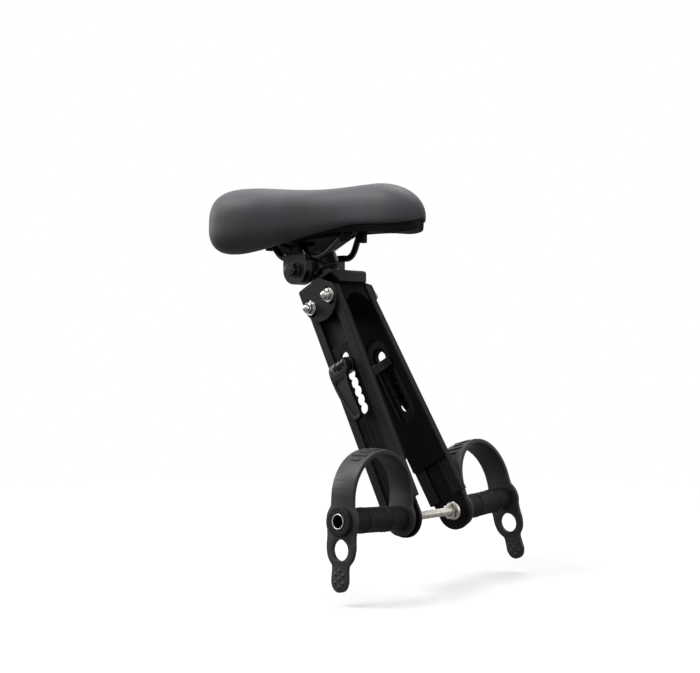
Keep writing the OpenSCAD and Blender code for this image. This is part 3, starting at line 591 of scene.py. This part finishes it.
# Base shell against the cover's vault; its stations leave out the saddle's two ends
shell = {
    "thickness": 5, "noseDepth": 9, "inset": 2.5, "gap": 0.5, "taper": 0.08, "taperPower": 6, "thinPower": 4,
    "bulge": 0.5, "sideShares": (0.25, 0.5, 0.75), "steps": 12, "stations": 60, "first": 6, "last": 56,
    "rims": [0.08, 0.08, 0.08, 0.08, 0.1, 0.2, 0.45, 0.75, 0.85, 1, 1],
}


def rimDepth(at):
    return shell["noseDepth"] * smoothAt(shell["rims"], at)


def baseRing(at):
    e = max(edgeWidth(at) - shell["inset"], shell["inset"])
    rim = rimDepth(at)
    deep = max(shell["thickness"], rim)
    lower, upper = [], []
    for k in range(shell["steps"] + 1):
        out = k / shell["steps"]
        top = vaultHeight(at, e * out) - shell["gap"]
        upper.append((e * out, top))
        lower.append((e * out * (1 - shell["taper"] * out ** shell["taperPower"]),
                      top - deep + (deep - rim) * out ** shell["thinPower"]))
    (lowY, lowZ), (highY, highZ) = lower[-1], upper[-1]
    side = [(lowY + (highY - lowY) * t + shell["bulge"] * math.sin(math.pi * t), lowZ + (highZ - lowZ) * t)
            for t in shell["sideShares"]]
    return wholeRing(lower + side + upper[::-1], saddleX(at))


baseRings = [baseRing(saddleStation(i, shell["stations"])) for i in range(shell["first"], shell["last"] + 1)]
addPiece("saddle_base_shell", joinRings("saddleBase", baseRings), Matrix.Identity(4), "root",
         "moulded_plastic", ["saddle_base"])
print("saddle base drawn")

# Saddle clamp's place, and the rails that it holds
clamp = {
    "postDiameter": 22.2, "boltDiameter": 8, "boltPitch": 1.25, "drop": 13, "outerJaw": 9, "washer": 1.4,
    "nutHeight": 6.4, "nutFlats": 12.8,
}
rails = {
    "wire": 6.6, "sides": 24, "steps": 7, "spacing": 44, "height": 63, "flatLength": 50,
    "behindShare": 0.44, "backRun": 15, "backSpread": 0.54, "frontRun": 22, "frontSpread": 0.31,
    "bend": [(-0.45, 0), (0, 0.01), (0.4, 0.3), (0.88, 0.96)], "tipShares": (0.3, 0.85),
}
socket = {
    "length": 6, "wall": 1.6, "rise": 2, "edge": 1.3, "edgeSteps": 3,
    "collarGap": 0.25, "collarInset": 0.2, "collarLength": 1.8, "collarSink": 0.4, "chamfer": (0.7, 0.8),
}
tilt = math.radians(stance["tilt"])
clampZ = rails["height"] - clamp["drop"]
clampOff = clamp["postDiameter"] / 2 + clamp["boltDiameter"] / 2 + 2 * fit
clampX = -(clampOff + clampZ * math.sin(tilt)) / math.cos(tilt)
socketWide = rails["wire"] + 2 * socket["wall"]
backX = clampX - rails["flatLength"] * rails["behindShare"] - rails["backRun"]
frontX = clampX + rails["flatLength"] * (1 - rails["behindShare"]) + rails["frontRun"]
backY, frontY = rails["spacing"] * rails["backSpread"], rails["spacing"] * rails["frontSpread"]


def baseLow(x, y):
    at = (x + saddle["back"]) / saddle["length"]
    return vaultHeight(at, y) - shell["gap"] - max(shell["thickness"], rimDepth(at))


def socketHeight(x, y):
    under = min(baseLow(x + i * socket["length"], y + socketWide / 2) for i in (0, 0.5, 1))
    return under - socketWide / 2 - 2 * fit


backZ = socketHeight(backX - socket["length"], backY)
frontZ = socketHeight(frontX, frontY)


def railPath(side):
    middle, length = rails["spacing"] / 2, socket["length"]
    near, far = rails["tipShares"]

    def bend(x, run, z, y):
        return [Vector((x + run * along, side * (middle + (y - middle) * up),
                        rails["height"] + (z - rails["height"]) * up)) for along, up in rails["bend"]]

    points = [Vector((backX - length * share, side * backY, backZ)) for share in (far, near)]
    points += bend(backX + rails["backRun"], -rails["backRun"], backZ, backY)[::-1]
    points += bend(frontX - rails["frontRun"], rails["frontRun"], frontZ, frontY)
    points += [Vector((frontX + length * share, side * frontY, frontZ)) for share in (near, far)]
    count = rails["steps"] * (len(points) - 1)
    return [smoothAt(points, k / count) for k in range(count + 1)]


def tube(name, path, diameter, sides):
    rings = []
    for k, point in enumerate(path):
        run = (path[min(k + 1, len(path) - 1)] - path[max(k - 1, 0)]).normalized()
        across = Vector((0, 1, 0)).cross(run).normalized()
        side = across.cross(run)
        rings.append([point + diameter / 2 * (across * math.cos(a) + side * math.sin(a))
                      for a in (2 * math.pi * i / sides for i in range(sides))])
    return joinRings(name, rings)


railParts = [(tube("rail", railPath(side), rails["wire"], rails["sides"]), Matrix.Identity(4))
             for side in (-1, 1)]
addPiece("saddle_rail_wires", merge("saddleRails", railParts), Matrix.Identity(4), "root", "wire_paint",
         ["saddle_rails"])


def socketParts():
    # a moulded block under the base for each end of each wire, with a collar where the wire goes in
    parts = []
    body = block("socket", (socket["length"], socketWide, socketWide + socket["rise"]), socket["edge"],
                 socket["edgeSteps"])
    inner, outer = rails["wire"] / 2 + socket["collarGap"], socketWide / 2 - socket["collarInset"]
    end, (narrow, short) = socket["collarLength"], socket["chamfer"]
    collar = lathe("collar", [(inner, 0), (outer, 0), (outer, end - short), (outer - narrow, end),
                              (inner, end)])
    for side in (-1, 1):
        for x, y, z, facing in ((backX, backY, backZ, 1), (frontX, frontY, frontZ, -1)):
            parts.append((body, move(x - facing * socket["length"] / 2, side * y, z + socket["rise"] / 2)))
            mouth = move(x - facing * socket["collarSink"], side * y, z)
            parts.append((collar, mouth @ turn(90 * facing, "Y")))
    return parts


# Ribs under the base: lanes along it (y, start, end) and crossings over it (x)
ribs = {
    "thickness": 1.8, "depth": 2.6, "sink": 1.2, "footShare": 0.7, "margin": 17,
    "lanes": [(-11, -124, -4), (11, -124, -4), (-30, -120, -72), (30, -120, -72)], "laneSteps": 30,
    "crossings": [-112, -92], "crossSteps": 24,
}


def ribMesh(line):
    # a web that hangs from the base's lower face, along a line of (x, y)
    half = ribs["thickness"] / 2
    rings = []
    for k, (x, y) in enumerate(line):
        ahead, behind = line[min(k + 1, len(line) - 1)], line[max(k - 1, 0)]
        across = Vector((behind[1] - ahead[1], ahead[0] - behind[0], 0)).normalized() * half
        low = baseLow(x, abs(y))
        foot = Vector((x, y, low - ribs["depth"]))
        root = Vector((x, y, low + ribs["sink"]))
        narrow = across * ribs["footShare"]
        rings.append([root - across, foot - narrow, foot + narrow, root + across])
    return joinRings("rib", rings)


ribParts = []
for y, start, end in ribs["lanes"]:
    line = [(start + (end - start) * k / ribs["laneSteps"], y) for k in range(ribs["laneSteps"] + 1)]
    ribParts.append((ribMesh(line), Matrix.Identity(4)))
for x in ribs["crossings"]:
    reach = edgeWidth((x + saddle["back"]) / saddle["length"]) - ribs["margin"]
    line = [(x, -reach + 2 * reach * k / ribs["crossSteps"]) for k in range(ribs["crossSteps"] + 1)]
    ribParts.append((ribMesh(line), Matrix.Identity(4)))
addPiece("base_sockets_and_ribs", merge("baseSockets", socketParts() + ribParts), Matrix.Identity(4), "root",
         "moulded_plastic", ["rail_sockets"])
print("saddle rails, sockets and ribs drawn")

# Turned and hexagonal hardware; a face is the flat end circle that the chamfer leaves on a hexagon
hardware = {"around": 60, "chamfer": 0.5, "slope": 0.5, "faceShare": 0.48}
thread = {"sides": 28, "perTurn": 7, "depthShare": 0.55, "groove": 1.2}


def roundBelt(radius, height):
    return [(x, y, height) for x, y in circle(0, 0, radius, hardware["around"])]


def hexBelt(flats, height, slope):
    # a hexagon's corners dip where the chamfer cuts them
    belt = []
    for i in range(hardware["around"]):
        a = 2 * math.pi * i / hardware["around"]
        radius = flats / 2 / math.cos(a % (math.pi / 3) - math.pi / 6)
        dip = slope * (radius - flats * hardware["faceShare"])
        belt.append((radius * math.cos(a), radius * math.sin(a), height + dip))
    return belt


def hexNut(name, flats, low, high, bore):
    inner, face, slope = bore / 2, flats * hardware["faceShare"], hardware["slope"]
    chamfer = hardware["chamfer"]
    return joinRings(name, [
        roundBelt(inner, low + chamfer), roundBelt(inner + chamfer, low), roundBelt(face, low),
        hexBelt(flats, low, slope), hexBelt(flats, high, -slope),
        roundBelt(face, high), roundBelt(inner + chamfer, high), roundBelt(inner, high - chamfer),
    ], loop=True)


def threadedBar(name, diameter, pitch, low, high):
    rings = []
    sides, count = thread["sides"], round((high - low) / pitch * thread["perTurn"])
    for k in range(count + 1):
        z = low + (high - low) * k / count
        lead = min(min(z - low, high - z) / pitch, 1)  # the ends taper
        ring = []
        for i in range(sides):
            a = 2 * math.pi * i / sides
            wave = abs((z / pitch - i / sides) % 1 * 2 - 1)
            depth = thread["depthShare"] * pitch * max(1 - thread["groove"] * wave, 1 - lead, 0)
            radius = diameter / 2 - depth
            ring.append((radius * math.cos(a), radius * math.sin(a), z))
        rings.append(ring)
    return joinRings(name, rings)


atClamp = move(clampX, 0, clampZ)
clampStack = rails["spacing"] / 2 + clamp["outerJaw"] + clamp["washer"]
boltReach = clampStack + clamp["nutHeight"] + clamp["washer"] / 2
clampBolt = threadedBar("clampBolt", clamp["boltDiameter"], clamp["boltPitch"], -boltReach, boltReach)
addPiece("clamp_threaded_bolt", clampBolt, atClamp @ outward, "root", "clamp_steel", ["clamp_bolt"])
clampNut = hexNut("clampNut", clamp["nutFlats"], clampStack, clampStack + clamp["nutHeight"],
                  clamp["boltDiameter"])
clampNuts = merge("clampNuts", [(clampNut, turn(side * 90, "X")) for side in (-1, 1)])
addPiece("clamp_hex_nuts", clampNuts, atClamp, "root", "clamp_steel", ["clamp_nuts"])

# Dome nuts: a hexagon, a short neck and a ball, hollow for the bolt
domeNut = {
    "flats": 10, "height": 9.5, "boltDiameter": 6, "tongue": 3, "washer": 1.4, "chamfer": 0.4,
    "hexShare": 0.52, "neckShare": 0.455, "neckRise": 0.15, "ballShare": 0.45, "ballStart": 0.1,
    "ballAngles": (12, 24, 36, 48, 60, 70, 79, 86), "tip": 0.05, "roof": 1.5, "boreEnd": 2.6, "spin": 17,
}
domeNutIn = channel["depth"] + fit + domeNut["tongue"] + domeNut["washer"]


def domeNutMesh():
    nut, low, high = domeNut, domeNutIn, domeNutIn + domeNut["height"]
    flats, bore, chamfer = nut["flats"], nut["boltDiameter"] / 2, nut["chamfer"]
    face, slope = flats * hardware["faceShare"], hardware["slope"]
    hexTop, ball = low + nut["height"] * nut["hexShare"], flats * nut["ballShare"]
    middle = high - ball
    belts = [roundBelt(bore, low + chamfer), roundBelt(bore + chamfer, low), roundBelt(face, low),
             hexBelt(flats, low, slope), hexBelt(flats, hexTop, -slope), roundBelt(face, hexTop),
             roundBelt(flats * nut["neckShare"], hexTop + nut["neckRise"]),
             roundBelt(ball, middle - nut["ballStart"])]
    belts += [roundBelt(ball * math.cos(a), middle + ball * math.sin(a))
              for a in map(math.radians, nut["ballAngles"])]
    belts += [roundBelt(nut["tip"], high), roundBelt(nut["tip"], high - nut["roof"]),
              roundBelt(bore, high - nut["boreEnd"])]
    return joinRings("domeNut", belts, loop=True)


nutParts = []
for side in sides:
    for end in (-1, 1):
        place = legFrame(side) @ move(end * stance["bracketBoltSpacing"] / 2, 0, stance["bracketBoltHeight"])
        nutParts.append((domeNutMesh(), place @ outward @ turn(domeNut["spin"] * end, "Z")))
addPiece("bracket_acorn_nuts", merge("acornNuts", nutParts), Matrix.Identity(4), "root", "stainless",
         ["bracket_dome_nuts"], 28)
print("saddle clamp and bracket hardware drawn")

# Cross rod with its flange nuts
rod = {"diameter": 8, "pitch": 1.25}
flangeNut = {
    "flats": 13, "height": 8, "flange": 17.9, "boreGap": 0.3, "boreChamfer": 0.4, "edge": 0.3,
    "flangeEdge": 1.1, "flangeSlope": 0.4, "skirtShare": 0.6, "skirt": 2.6, "hexTop": 2.8, "spin": 11,
}
splay = math.radians(stance["splay"])
rodUp = (slideIn + slideOut) / 2 * math.sin(splay) - stance["pegDrop"] * math.cos(splay)
rodReach = (stance["legGap"] / 2 + stance["pegDrop"] * math.sin(splay)
            + (bossOut + peg["wall"] + peg["endNut"] + rod["diameter"] / 4) * math.cos(splay))
addPiece("cross_rod_thread", threadedBar("crossRod", rod["diameter"], rod["pitch"], -rodReach, rodReach),
         onAxis @ move(0, 0, rodUp) @ outward, "lower_right", "zinc_steel", ["threaded_rod"])


def flangeNutMesh():
    nut, low, high = flangeNut, slideIn - flangeNut["height"], slideIn
    flats, flange, bore = nut["flats"], nut["flange"] / 2, rod["diameter"] / 2 + nut["boreGap"]
    soft, chamfer, slope = nut["boreChamfer"], hardware["chamfer"], nut["flangeSlope"]
    under = high - nut["flangeEdge"]
    return joinRings("flangeNut", [
        roundBelt(bore, high - soft), roundBelt(bore + soft, high), roundBelt(flange - nut["edge"], high),
        roundBelt(flange, high - nut["edge"]), roundBelt(flange, under),
        roundBelt(flange - slope, under - slope), roundBelt(flats * nut["skirtShare"], high - nut["skirt"]),
        hexBelt(flats, high - nut["hexTop"], 0), hexBelt(flats, low, hardware["slope"]),
        roundBelt(flats * hardware["faceShare"], low), roundBelt(bore + chamfer, low),
        roundBelt(bore, low + chamfer),
    ], loop=True)


for side in sides:
    addPiece("flange_nut_turned_" + side, flangeNutMesh(),
             pegFrame(side) @ outward @ turn(flangeNut["spin"], "Z"), "lower_" + side, "zinc_steel",
             ["flange_nut_" + side], 28)
print("cross rod drawn")

# Foot pegs: rubber grips with two grooves, each between raised lips, and end caps with a bright rim
grip = {
    "diameter": 23.4, "tube": 19, "edge": 1.2, "grooves": [0.3, 0.7], "grooveWidth": 2, "grooveDepth": 0.9,
    "grooveRound": 0.15, "lip": 0.35, "lipRound": 0.4, "lipRun": 1.6, "around": 96,
}
cap = {
    "diameter": 27, "length": 3.8, "bore": 12, "tube": 19, "seat": 2.2, "backEdge": 0.6, "edge": 1.1,
    "moat": [(2.4, -0.1), (2.1, -0.5), (1.7, -0.5)], "lip": 0.5, "lipWidth": 1.6, "lipRound": 0.4,
    "around": 80,
}
rim = {"radius": 0.5, "sink": 0.3, "sides": 10}


def gripProfile():
    outer, length, edge = grip["diameter"] / 2, peg["gripLength"], grip["edge"]
    low, soft, curl = outer - grip["grooveDepth"], grip["grooveRound"], grip["lipRound"]
    crest = outer + grip["lip"] - curl
    profile = [(grip["tube"] / 2, 0)] + corner(outer - edge, edge, edge, -90, 0)
    for share in grip["grooves"]:
        start = share * length
        end = start + grip["grooveWidth"]
        profile += [(outer, start - grip["lipRun"])] + corner(crest, start - curl, curl, 0, 90, 2)
        profile += [(low + soft, start + soft), (low, (start + end) / 2), (low + soft, end - soft)]
        profile += corner(crest, end + curl, curl, -90, 0, 2) + [(outer, end + grip["lipRun"])]
    return profile + corner(outer - edge, length - edge, edge, 0, 90) + [(grip["tube"] / 2, length)]


def capProfile():
    # the moat's points count outward from the bore and up from the face
    outer, length, bore = cap["diameter"] / 2, cap["length"], cap["bore"] / 2
    back, edge, curl, high = cap["backEdge"], cap["edge"], cap["lipRound"], length + cap["lip"]
    profile = [(cap["tube"] / 2, 0)] + corner(outer - back, back, back, -90, 0, 2)
    profile += corner(outer - edge, length - edge, edge, 0, 90, 5)
    profile += [(bore + out, length + up) for out, up in cap["moat"]]
    profile += corner(bore + cap["lipWidth"] - curl, high - curl, curl, 0, 90, 3)
    profile += corner(bore + curl, high - curl, curl, 90, 180, 3)
    return profile + [(bore, cap["seat"]), (cap["tube"] / 2, cap["seat"])]


def rimProfile():
    return circle(cap["bore"] / 2 + rim["radius"], cap["length"] + cap["lip"] - rim["sink"], rim["radius"],
                  rim["sides"])


for side in sides:
    atGrip = pegFrame(side) @ move(0, gripIn, 0) @ outward
    atCap = pegFrame(side) @ move(0, capIn, 0) @ outward
    addPiece("foot_grip_" + side, lathe("footGrip", gripProfile(), around=grip["around"]), atGrip,
             "lower_" + side, "grip_rubber", ["peg_grip_" + side], 50)
    addPiece("foot_peg_cap_" + side, lathe("pegCap", capProfile(), around=cap["around"]), atCap,
             "lower_" + side, "grip_rubber", ["peg_end_cap_" + side], 50)
    addPiece("foot_peg_rim_" + side, lathe("pegRim", rimProfile(), around=cap["around"]), atCap,
             "lower_" + side, "zinc_steel")
print("foot grips and caps drawn")

# Foot straps, cut flat and bent over the foot: x across, y along the strap, z its outer face
strap = {
    "width": 26, "height": 64, "ring": 34, "tab": 36, "secondHole": 32, "hole": 19.2, "holePitch": 25.5,
    "tailWidth": 18, "tailEnd": 63, "edge": 0.7, "fillet": 2.2, "swell": 0.5,
    "ringSteps": 14, "sideStep": 1.5, "sideEnd": 1, "tailSteps": 12, "bendCuts": 51,
    "ribCount": 9, "ribPitch": 6.6, "ribSize": (17, 3.2, 2.4), "ribEdge": 0.5, "shortShare": 0.62,
    "swings": {"right": 0, "left": 15},
}
knobs = {
    "radius": 1.7, "height": 1.1, "sink": 0.2, "angles": (-10, 10, 30, 50, 70, 85), "around": 20,
    "fromEnd": 12,
    "places": [(0, 0), (0, 7.4), (0, -7.4), (-4.6, 3.6), (4.6, 3.6), (-4.6, -3.6), (4.6, -3.6)],
}
loopRadius = (tabIn - strapIn + peg["strapThickness"]) / 2
bendRadius = loopRadius - peg["strapThickness"] / 2
legLength = strap["height"] - loopRadius
loopEnd = legLength + math.pi * bendRadius
tabPlace = loopEnd + legLength


def strapOutline():
    start, end = -strap["ring"] / 2, tabPlace + strap["tailEnd"]
    secondHole, tailMiddle = tabPlace + strap["holePitch"], end - strap["tailWidth"] / 2
    rounds = [(0, strap["ring"] / 2), (tabPlace, strap["tab"] / 2), (secondHole, strap["secondHole"] / 2),
              (tailMiddle, strap["tailWidth"] / 2)]
    bands = [(0, secondHole, strap["width"] / 2), (tabPlace, tailMiddle, strap["tailWidth"] / 2),
             (tabPlace, secondHole, strap["secondHole"] / 2)]

    def halfWidthAt(along):
        # the widest round or band here, with a soft corner where two meet
        widths = [math.sqrt(max(r * r - (along - m) ** 2, 0)) for m, r in rounds]
        widths += [wide for first, last, wide in bands if first <= along <= last]
        whole = 0
        for wide in sorted(wide for wide in widths if wide > 0):
            soft = (whole + wide + math.sqrt((whole - wide) ** 2 + strap["fillet"])) / 2
            whole = soft if whole > 0 else wide
        return min(whole, max(widths) + strap["swell"])

    places = [start - start * (1 - math.cos(math.pi / 2 * k / strap["ringSteps"]))
              for k in range(strap["ringSteps"] + 1)]
    count = int((tailMiddle - strap["sideEnd"]) / strap["sideStep"])
    places += [k * strap["sideStep"] for k in range(1, count + 1)]
    places += [tailMiddle + strap["tailWidth"] / 2 * math.sin(math.pi / 2 * k / strap["tailSteps"])
               for k in range(strap["tailSteps"] + 1)]
    right = [(halfWidthAt(min(max(y, start), end)), y) for y in places]
    right[0], right[-1] = (0, start), (0, end)
    return right + [(-x, y) for x, y in right[-2:0:-1]]


def bendStrap(point):
    x, along, height = point
    half = peg["strapThickness"] / 2
    if along <= legLength:
        return Vector((x, strapIn + half - height, along))
    if along >= loopEnd:
        return Vector((x, tabIn + half + height, tabPlace - along))
    a = (along - legLength) / bendRadius
    return Vector((x, strapIn + loopRadius - (bendRadius + height) * math.cos(a),
                   legLength + (bendRadius + height) * math.sin(a)))


def strapMesh():
    half = peg["strapThickness"] / 2
    holes = [circle(0, y, strap["hole"] / 2) for y in (0, tabPlace, tabPlace + strap["holePitch"])]
    work = bmesh.new()
    work.from_mesh(plate("strapBand", strapOutline(), holes, -half, half, strap["edge"]))
    for k in range(strap["bendCuts"] + 1):  # cut across the loop, so that the flat strap can bend
        along = legLength + (loopEnd - legLength) * k / strap["bendCuts"]
        bmesh.ops.bisect_plane(work, geom=work.verts[:] + work.edges[:] + work.faces[:], dist=plateWeld,
                               plane_co=(0, along, 0), plane_no=(0, 1, 0))
    band = bpy.data.meshes.new("footStrap")
    work.to_mesh(band)
    work.free()
    parts = [(band, Matrix.Identity(4))]
    top = (legLength + loopEnd) / 2
    wide, thick, high = strap["ribSize"]
    for k in range(strap["ribCount"]):  # short and long ribs by turns
        along = top + (k - (strap["ribCount"] - 1) / 2) * strap["ribPitch"]
        share = 1 if k % 2 else strap["shortShare"]
        parts.append((block("rib", (wide * share, thick, high), strap["ribEdge"]), move(0, along, half)))
    knob = lathe("knob", [(knobs["radius"] * math.cos(a), knobs["height"] * math.sin(a) - knobs["sink"])
                          for a in map(math.radians, knobs["angles"])], False, knobs["around"])
    tail = tabPlace + strap["tailEnd"] - knobs["fromEnd"]
    for x, y in knobs["places"]:  # on both faces of the tail
        parts.append((knob, move(x, tail + y, half)))
        parts.append((knob, move(x, tail + y, -half) @ turn(180, "X")))
    mesh = merge("footStrap", parts)
    for vertex in mesh.vertices:
        vertex.co = bendStrap(vertex.co)
    return mesh


for side in sides:
    swing = stance["tilt"] - strap["swings"][side]
    addPiece("foot_strap_band_" + side, strapMesh(), pegFrame(side) @ turn(swing, "Y"), "lower_" + side,
             "strap_rubber", ["foot_strap_" + side], 40)
print("foot straps drawn")

# Cam levers: a long curved handle with a raised rim, on two cam cheeks
lever = {
    "camRadius": 5.5, "camBlock": 3, "forkWidth": 16, "gap": 6.8, "thickness": 5, "low": -0.925,
    "edge": 0.4, "recess": 1.3, "bodyShare": 0.985, "bodyShift": (-0.1, -0.2), "bodyLow": 0.02,
    "bodyEdge": 0.5, "pinRadius": 2.1, "cheekEdge": 0.6, "cheekSides": 40, "steps": 5,
    "outline": [(7.9, 1.5), (8.0, -3), (7.6, -7), (3.6, -13.2), (2.5, -22), (2.6, -32), (3.1, -45), (3.3, -52),
                (2.3, -56.6), (-1, -57.9), (-4.4, -57.3), (-7, -53.2), (-10.2, -42), (-13.6, -28), (-15.3, -14),
                (-15.5, -4), (-13.6, 2.2), (-8.5, 4.0)],
    "notch": [(-3.4, 4.0), (-3.4, -5.9), (3.4, -5.9), (3.4, 3.2)],
    "recessLine": [(1.6, -16), (0.7, -24), (0.8, -34), (1.3, -45), (1.3, -51), (0.2, -54.6), (-1.8, -55.6),
                   (-4, -54.4), (-6, -50.5), (-8.4, -42), (-11.7, -28), (-13.2, -17), (-11.8, -13.6),
                   (-5, -13.2), (0, -13.8)],
}
pivotOut = slideOut + channel["clear"] + lever["camBlock"] + lever["camRadius"]


def smoothOutline(line):
    return [(p.x, p.y) for p in smoothLoop([(x, y, 0) for x, y in line], lever["steps"])]


def leverMesh():
    # the handle's outline lies across and along the leg, its thickness outward; the notch closes the loop
    outline = smoothOutline(lever["outline"])[:1 - lever["steps"]] + lever["notch"]
    share, (shiftX, shiftY) = lever["bodyShare"], lever["bodyShift"]
    inside = [(x * share + shiftX, y * share + shiftY) for x, y in outline]
    high = lever["thickness"]
    body = plate("leverBody", inside, [], lever["bodyLow"], high - lever["recess"], lever["bodyEdge"])
    rimPlate = plate("leverRim", outline, [smoothOutline(lever["recessLine"])], 0, high, lever["edge"])
    width, edge = (lever["forkWidth"] - lever["gap"]) / 2, lever["cheekEdge"]
    middle = lever["camRadius"] - edge
    rounded = corner(middle, edge, edge, -90, 0, 2) + corner(middle, width - edge, edge, 0, 90, 2)
    cheek = lathe("camCheek", [(lever["pinRadius"], 0)] + rounded + [(lever["pinRadius"], width)],
                  around=lever["cheekSides"])
    # local axes of the handle: x across, y up the leg, z outward
    stand = Matrix(((1, 0, 0, 0), (0, 0, 1, lever["low"]), (0, 1, 0, 0), (0, 0, 0, 1)))
    parts = [(body, stand), (rimPlate, stand)]
    for end in (-1, 1):
        parts.append((cheek, turn(90 * end, "Y") @ move(0, 0, lever["gap"] / 2)))
    return merge("camLever", parts)


for side in sides:
    place = legFrame(side) @ move(0, pivotOut, -stance["studDrop"])
    addPiece("cam_lever_handle_" + side, leverMesh(), place, "lever_" + side, "lever_steel",
             ["cam_lever_" + side], 40)
print("cam levers drawn")

# Camera at the photograph's place, level with a little upward tilt
shot = {"place": (0.9185, -1.0722, -0.0262), "look": (-0.6494, 0.7604, 0.00607), "lens": 72, "sensor": 36,
        "clip": (0.01, 50)}
camera = bpy.data.objects.new("camera", bpy.data.cameras.new("camera"))
bpy.context.scene.collection.objects.link(camera)
camera.data.lens, camera.data.sensor_width = shot["lens"], shot["sensor"]
camera.data.clip_start, camera.data.clip_end = shot["clip"]
camera.location = shot["place"]
camera.rotation_mode = "QUATERNION"
camera.rotation_quaternion = Vector(shot["look"]).to_track_quat("-Z", "Y")
bpy.context.scene.camera = camera

# Pale floor and backdrop, white where the camera, metal and glass see them; distances here are metres
studio = {
    "floorDrop": 0.012, "floorSize": 30, "paper": 0.8, "bounce": 0.08, "cameraGlow": 0.5, "mirrorGlow": 0.25,
    "fadeStart": 0.45, "fadeEnd": 1.1, "skyTop": 0.6, "skySide": 0.2, "skyLow": -0.1, "skyHigh": 0.9,
}


def rayKinds(start):
    camera, mirror, through = [start.make("LightPath", {}, {}, kind)
                               for kind in ("Is Camera Ray", "Is Glossy Ray", "Is Transmission Ray")]
    return camera.maths("MAXIMUM", camera, through), mirror


def floorFinish():
    # the paper keeps the shadow near the object and fades to white further out
    material, start, place = newFinish("floorFinish")
    seen, mirrored = rayKinds(start)
    away = start.make("VectorMath", {"operation": "LENGTH"}, {0: place}, 1)
    far = away.ramp(studio["fadeStart"], studio["fadeEnd"])
    shade = studio["bounce"] + seen * (studio["paper"] - studio["bounce"])
    paper = start.make("BsdfDiffuse", {}, {"Color": shade})
    white = start.make("Emission", {}, {"Color": grey(1), "Strength": 1})
    near = studio["cameraGlow"]
    glow = seen * (near + far * (1 - near)) + mirrored * studio["mirrorGlow"]
    mixed = start.make("MixShader", {}, {0: glow, 1: paper, 2: white})
    start.make("OutputMaterial", {}, {"Surface": mixed})
    return material


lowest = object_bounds()[0].z - studio["floorDrop"]
floorSide = studio["floorSize"]
floor = bpy.data.objects.new("studioFloor", meshOf("studioFloor", [
    (x * floorSide, y * floorSide, 0) for x, y in ((-1, -1), (1, -1), (1, 1), (-1, 1))
], [(0, 1, 2, 3)]))
floor.location.z = lowest
floor.data.materials.append(floorFinish())
bpy.context.scene.collection.objects.link(floor)

world = bpy.data.worlds.new("studio")
world.use_nodes = True
world.node_tree.nodes.clear()
start = Link(world.node_tree)
seen, mirrored = rayKinds(start)
height = start.make("SeparateXYZ", {}, {"Vector": start.make("TexCoord", {}, {}, "Generated")}, 2)
upward = height.ramp(studio["skyLow"], studio["skyHigh"])
sky = studio["skySide"] + upward * (studio["skyTop"] - studio["skySide"])
white = seen.maths("MAXIMUM", seen, mirrored)
backdrop = start.make("Background", {}, {"Color": grey(1), "Strength": sky + white * (1 - sky)})
start.make("OutputWorld", {}, {"Surface": backdrop})
bpy.context.scene.world = world
bpy.context.scene.view_settings.view_transform = "Standard"

lampAim = Vector((0, 0, -0.05))
lamps = {
    "keyLamp": {"place": (-0.7, -0.8, 1.4), "size": 0.6, "power": 26},
    "topLamp": {"place": (-0.2, 0.5, 1.5), "size": 0.9, "power": 19},
    "fillLamp": {"place": (1.5, -0.5, 0.4), "size": 0.8, "power": 3},
    "rearLamp": {"place": (-1.5, -0.6, 0.5), "size": 0.7, "power": 12},
}
for name, lamp in lamps.items():
    light = bpy.data.objects.new(name, bpy.data.lights.new(name, "AREA"))
    light.data.size, light.data.energy = lamp["size"], lamp["power"]
    light.location = lamp["place"]
    light.rotation_mode = "QUATERNION"
    light.rotation_quaternion = (lampAim - Vector(lamp["place"])).to_track_quat("-Z", "Y")
    bpy.context.scene.collection.objects.link(light)
print("studio lit")
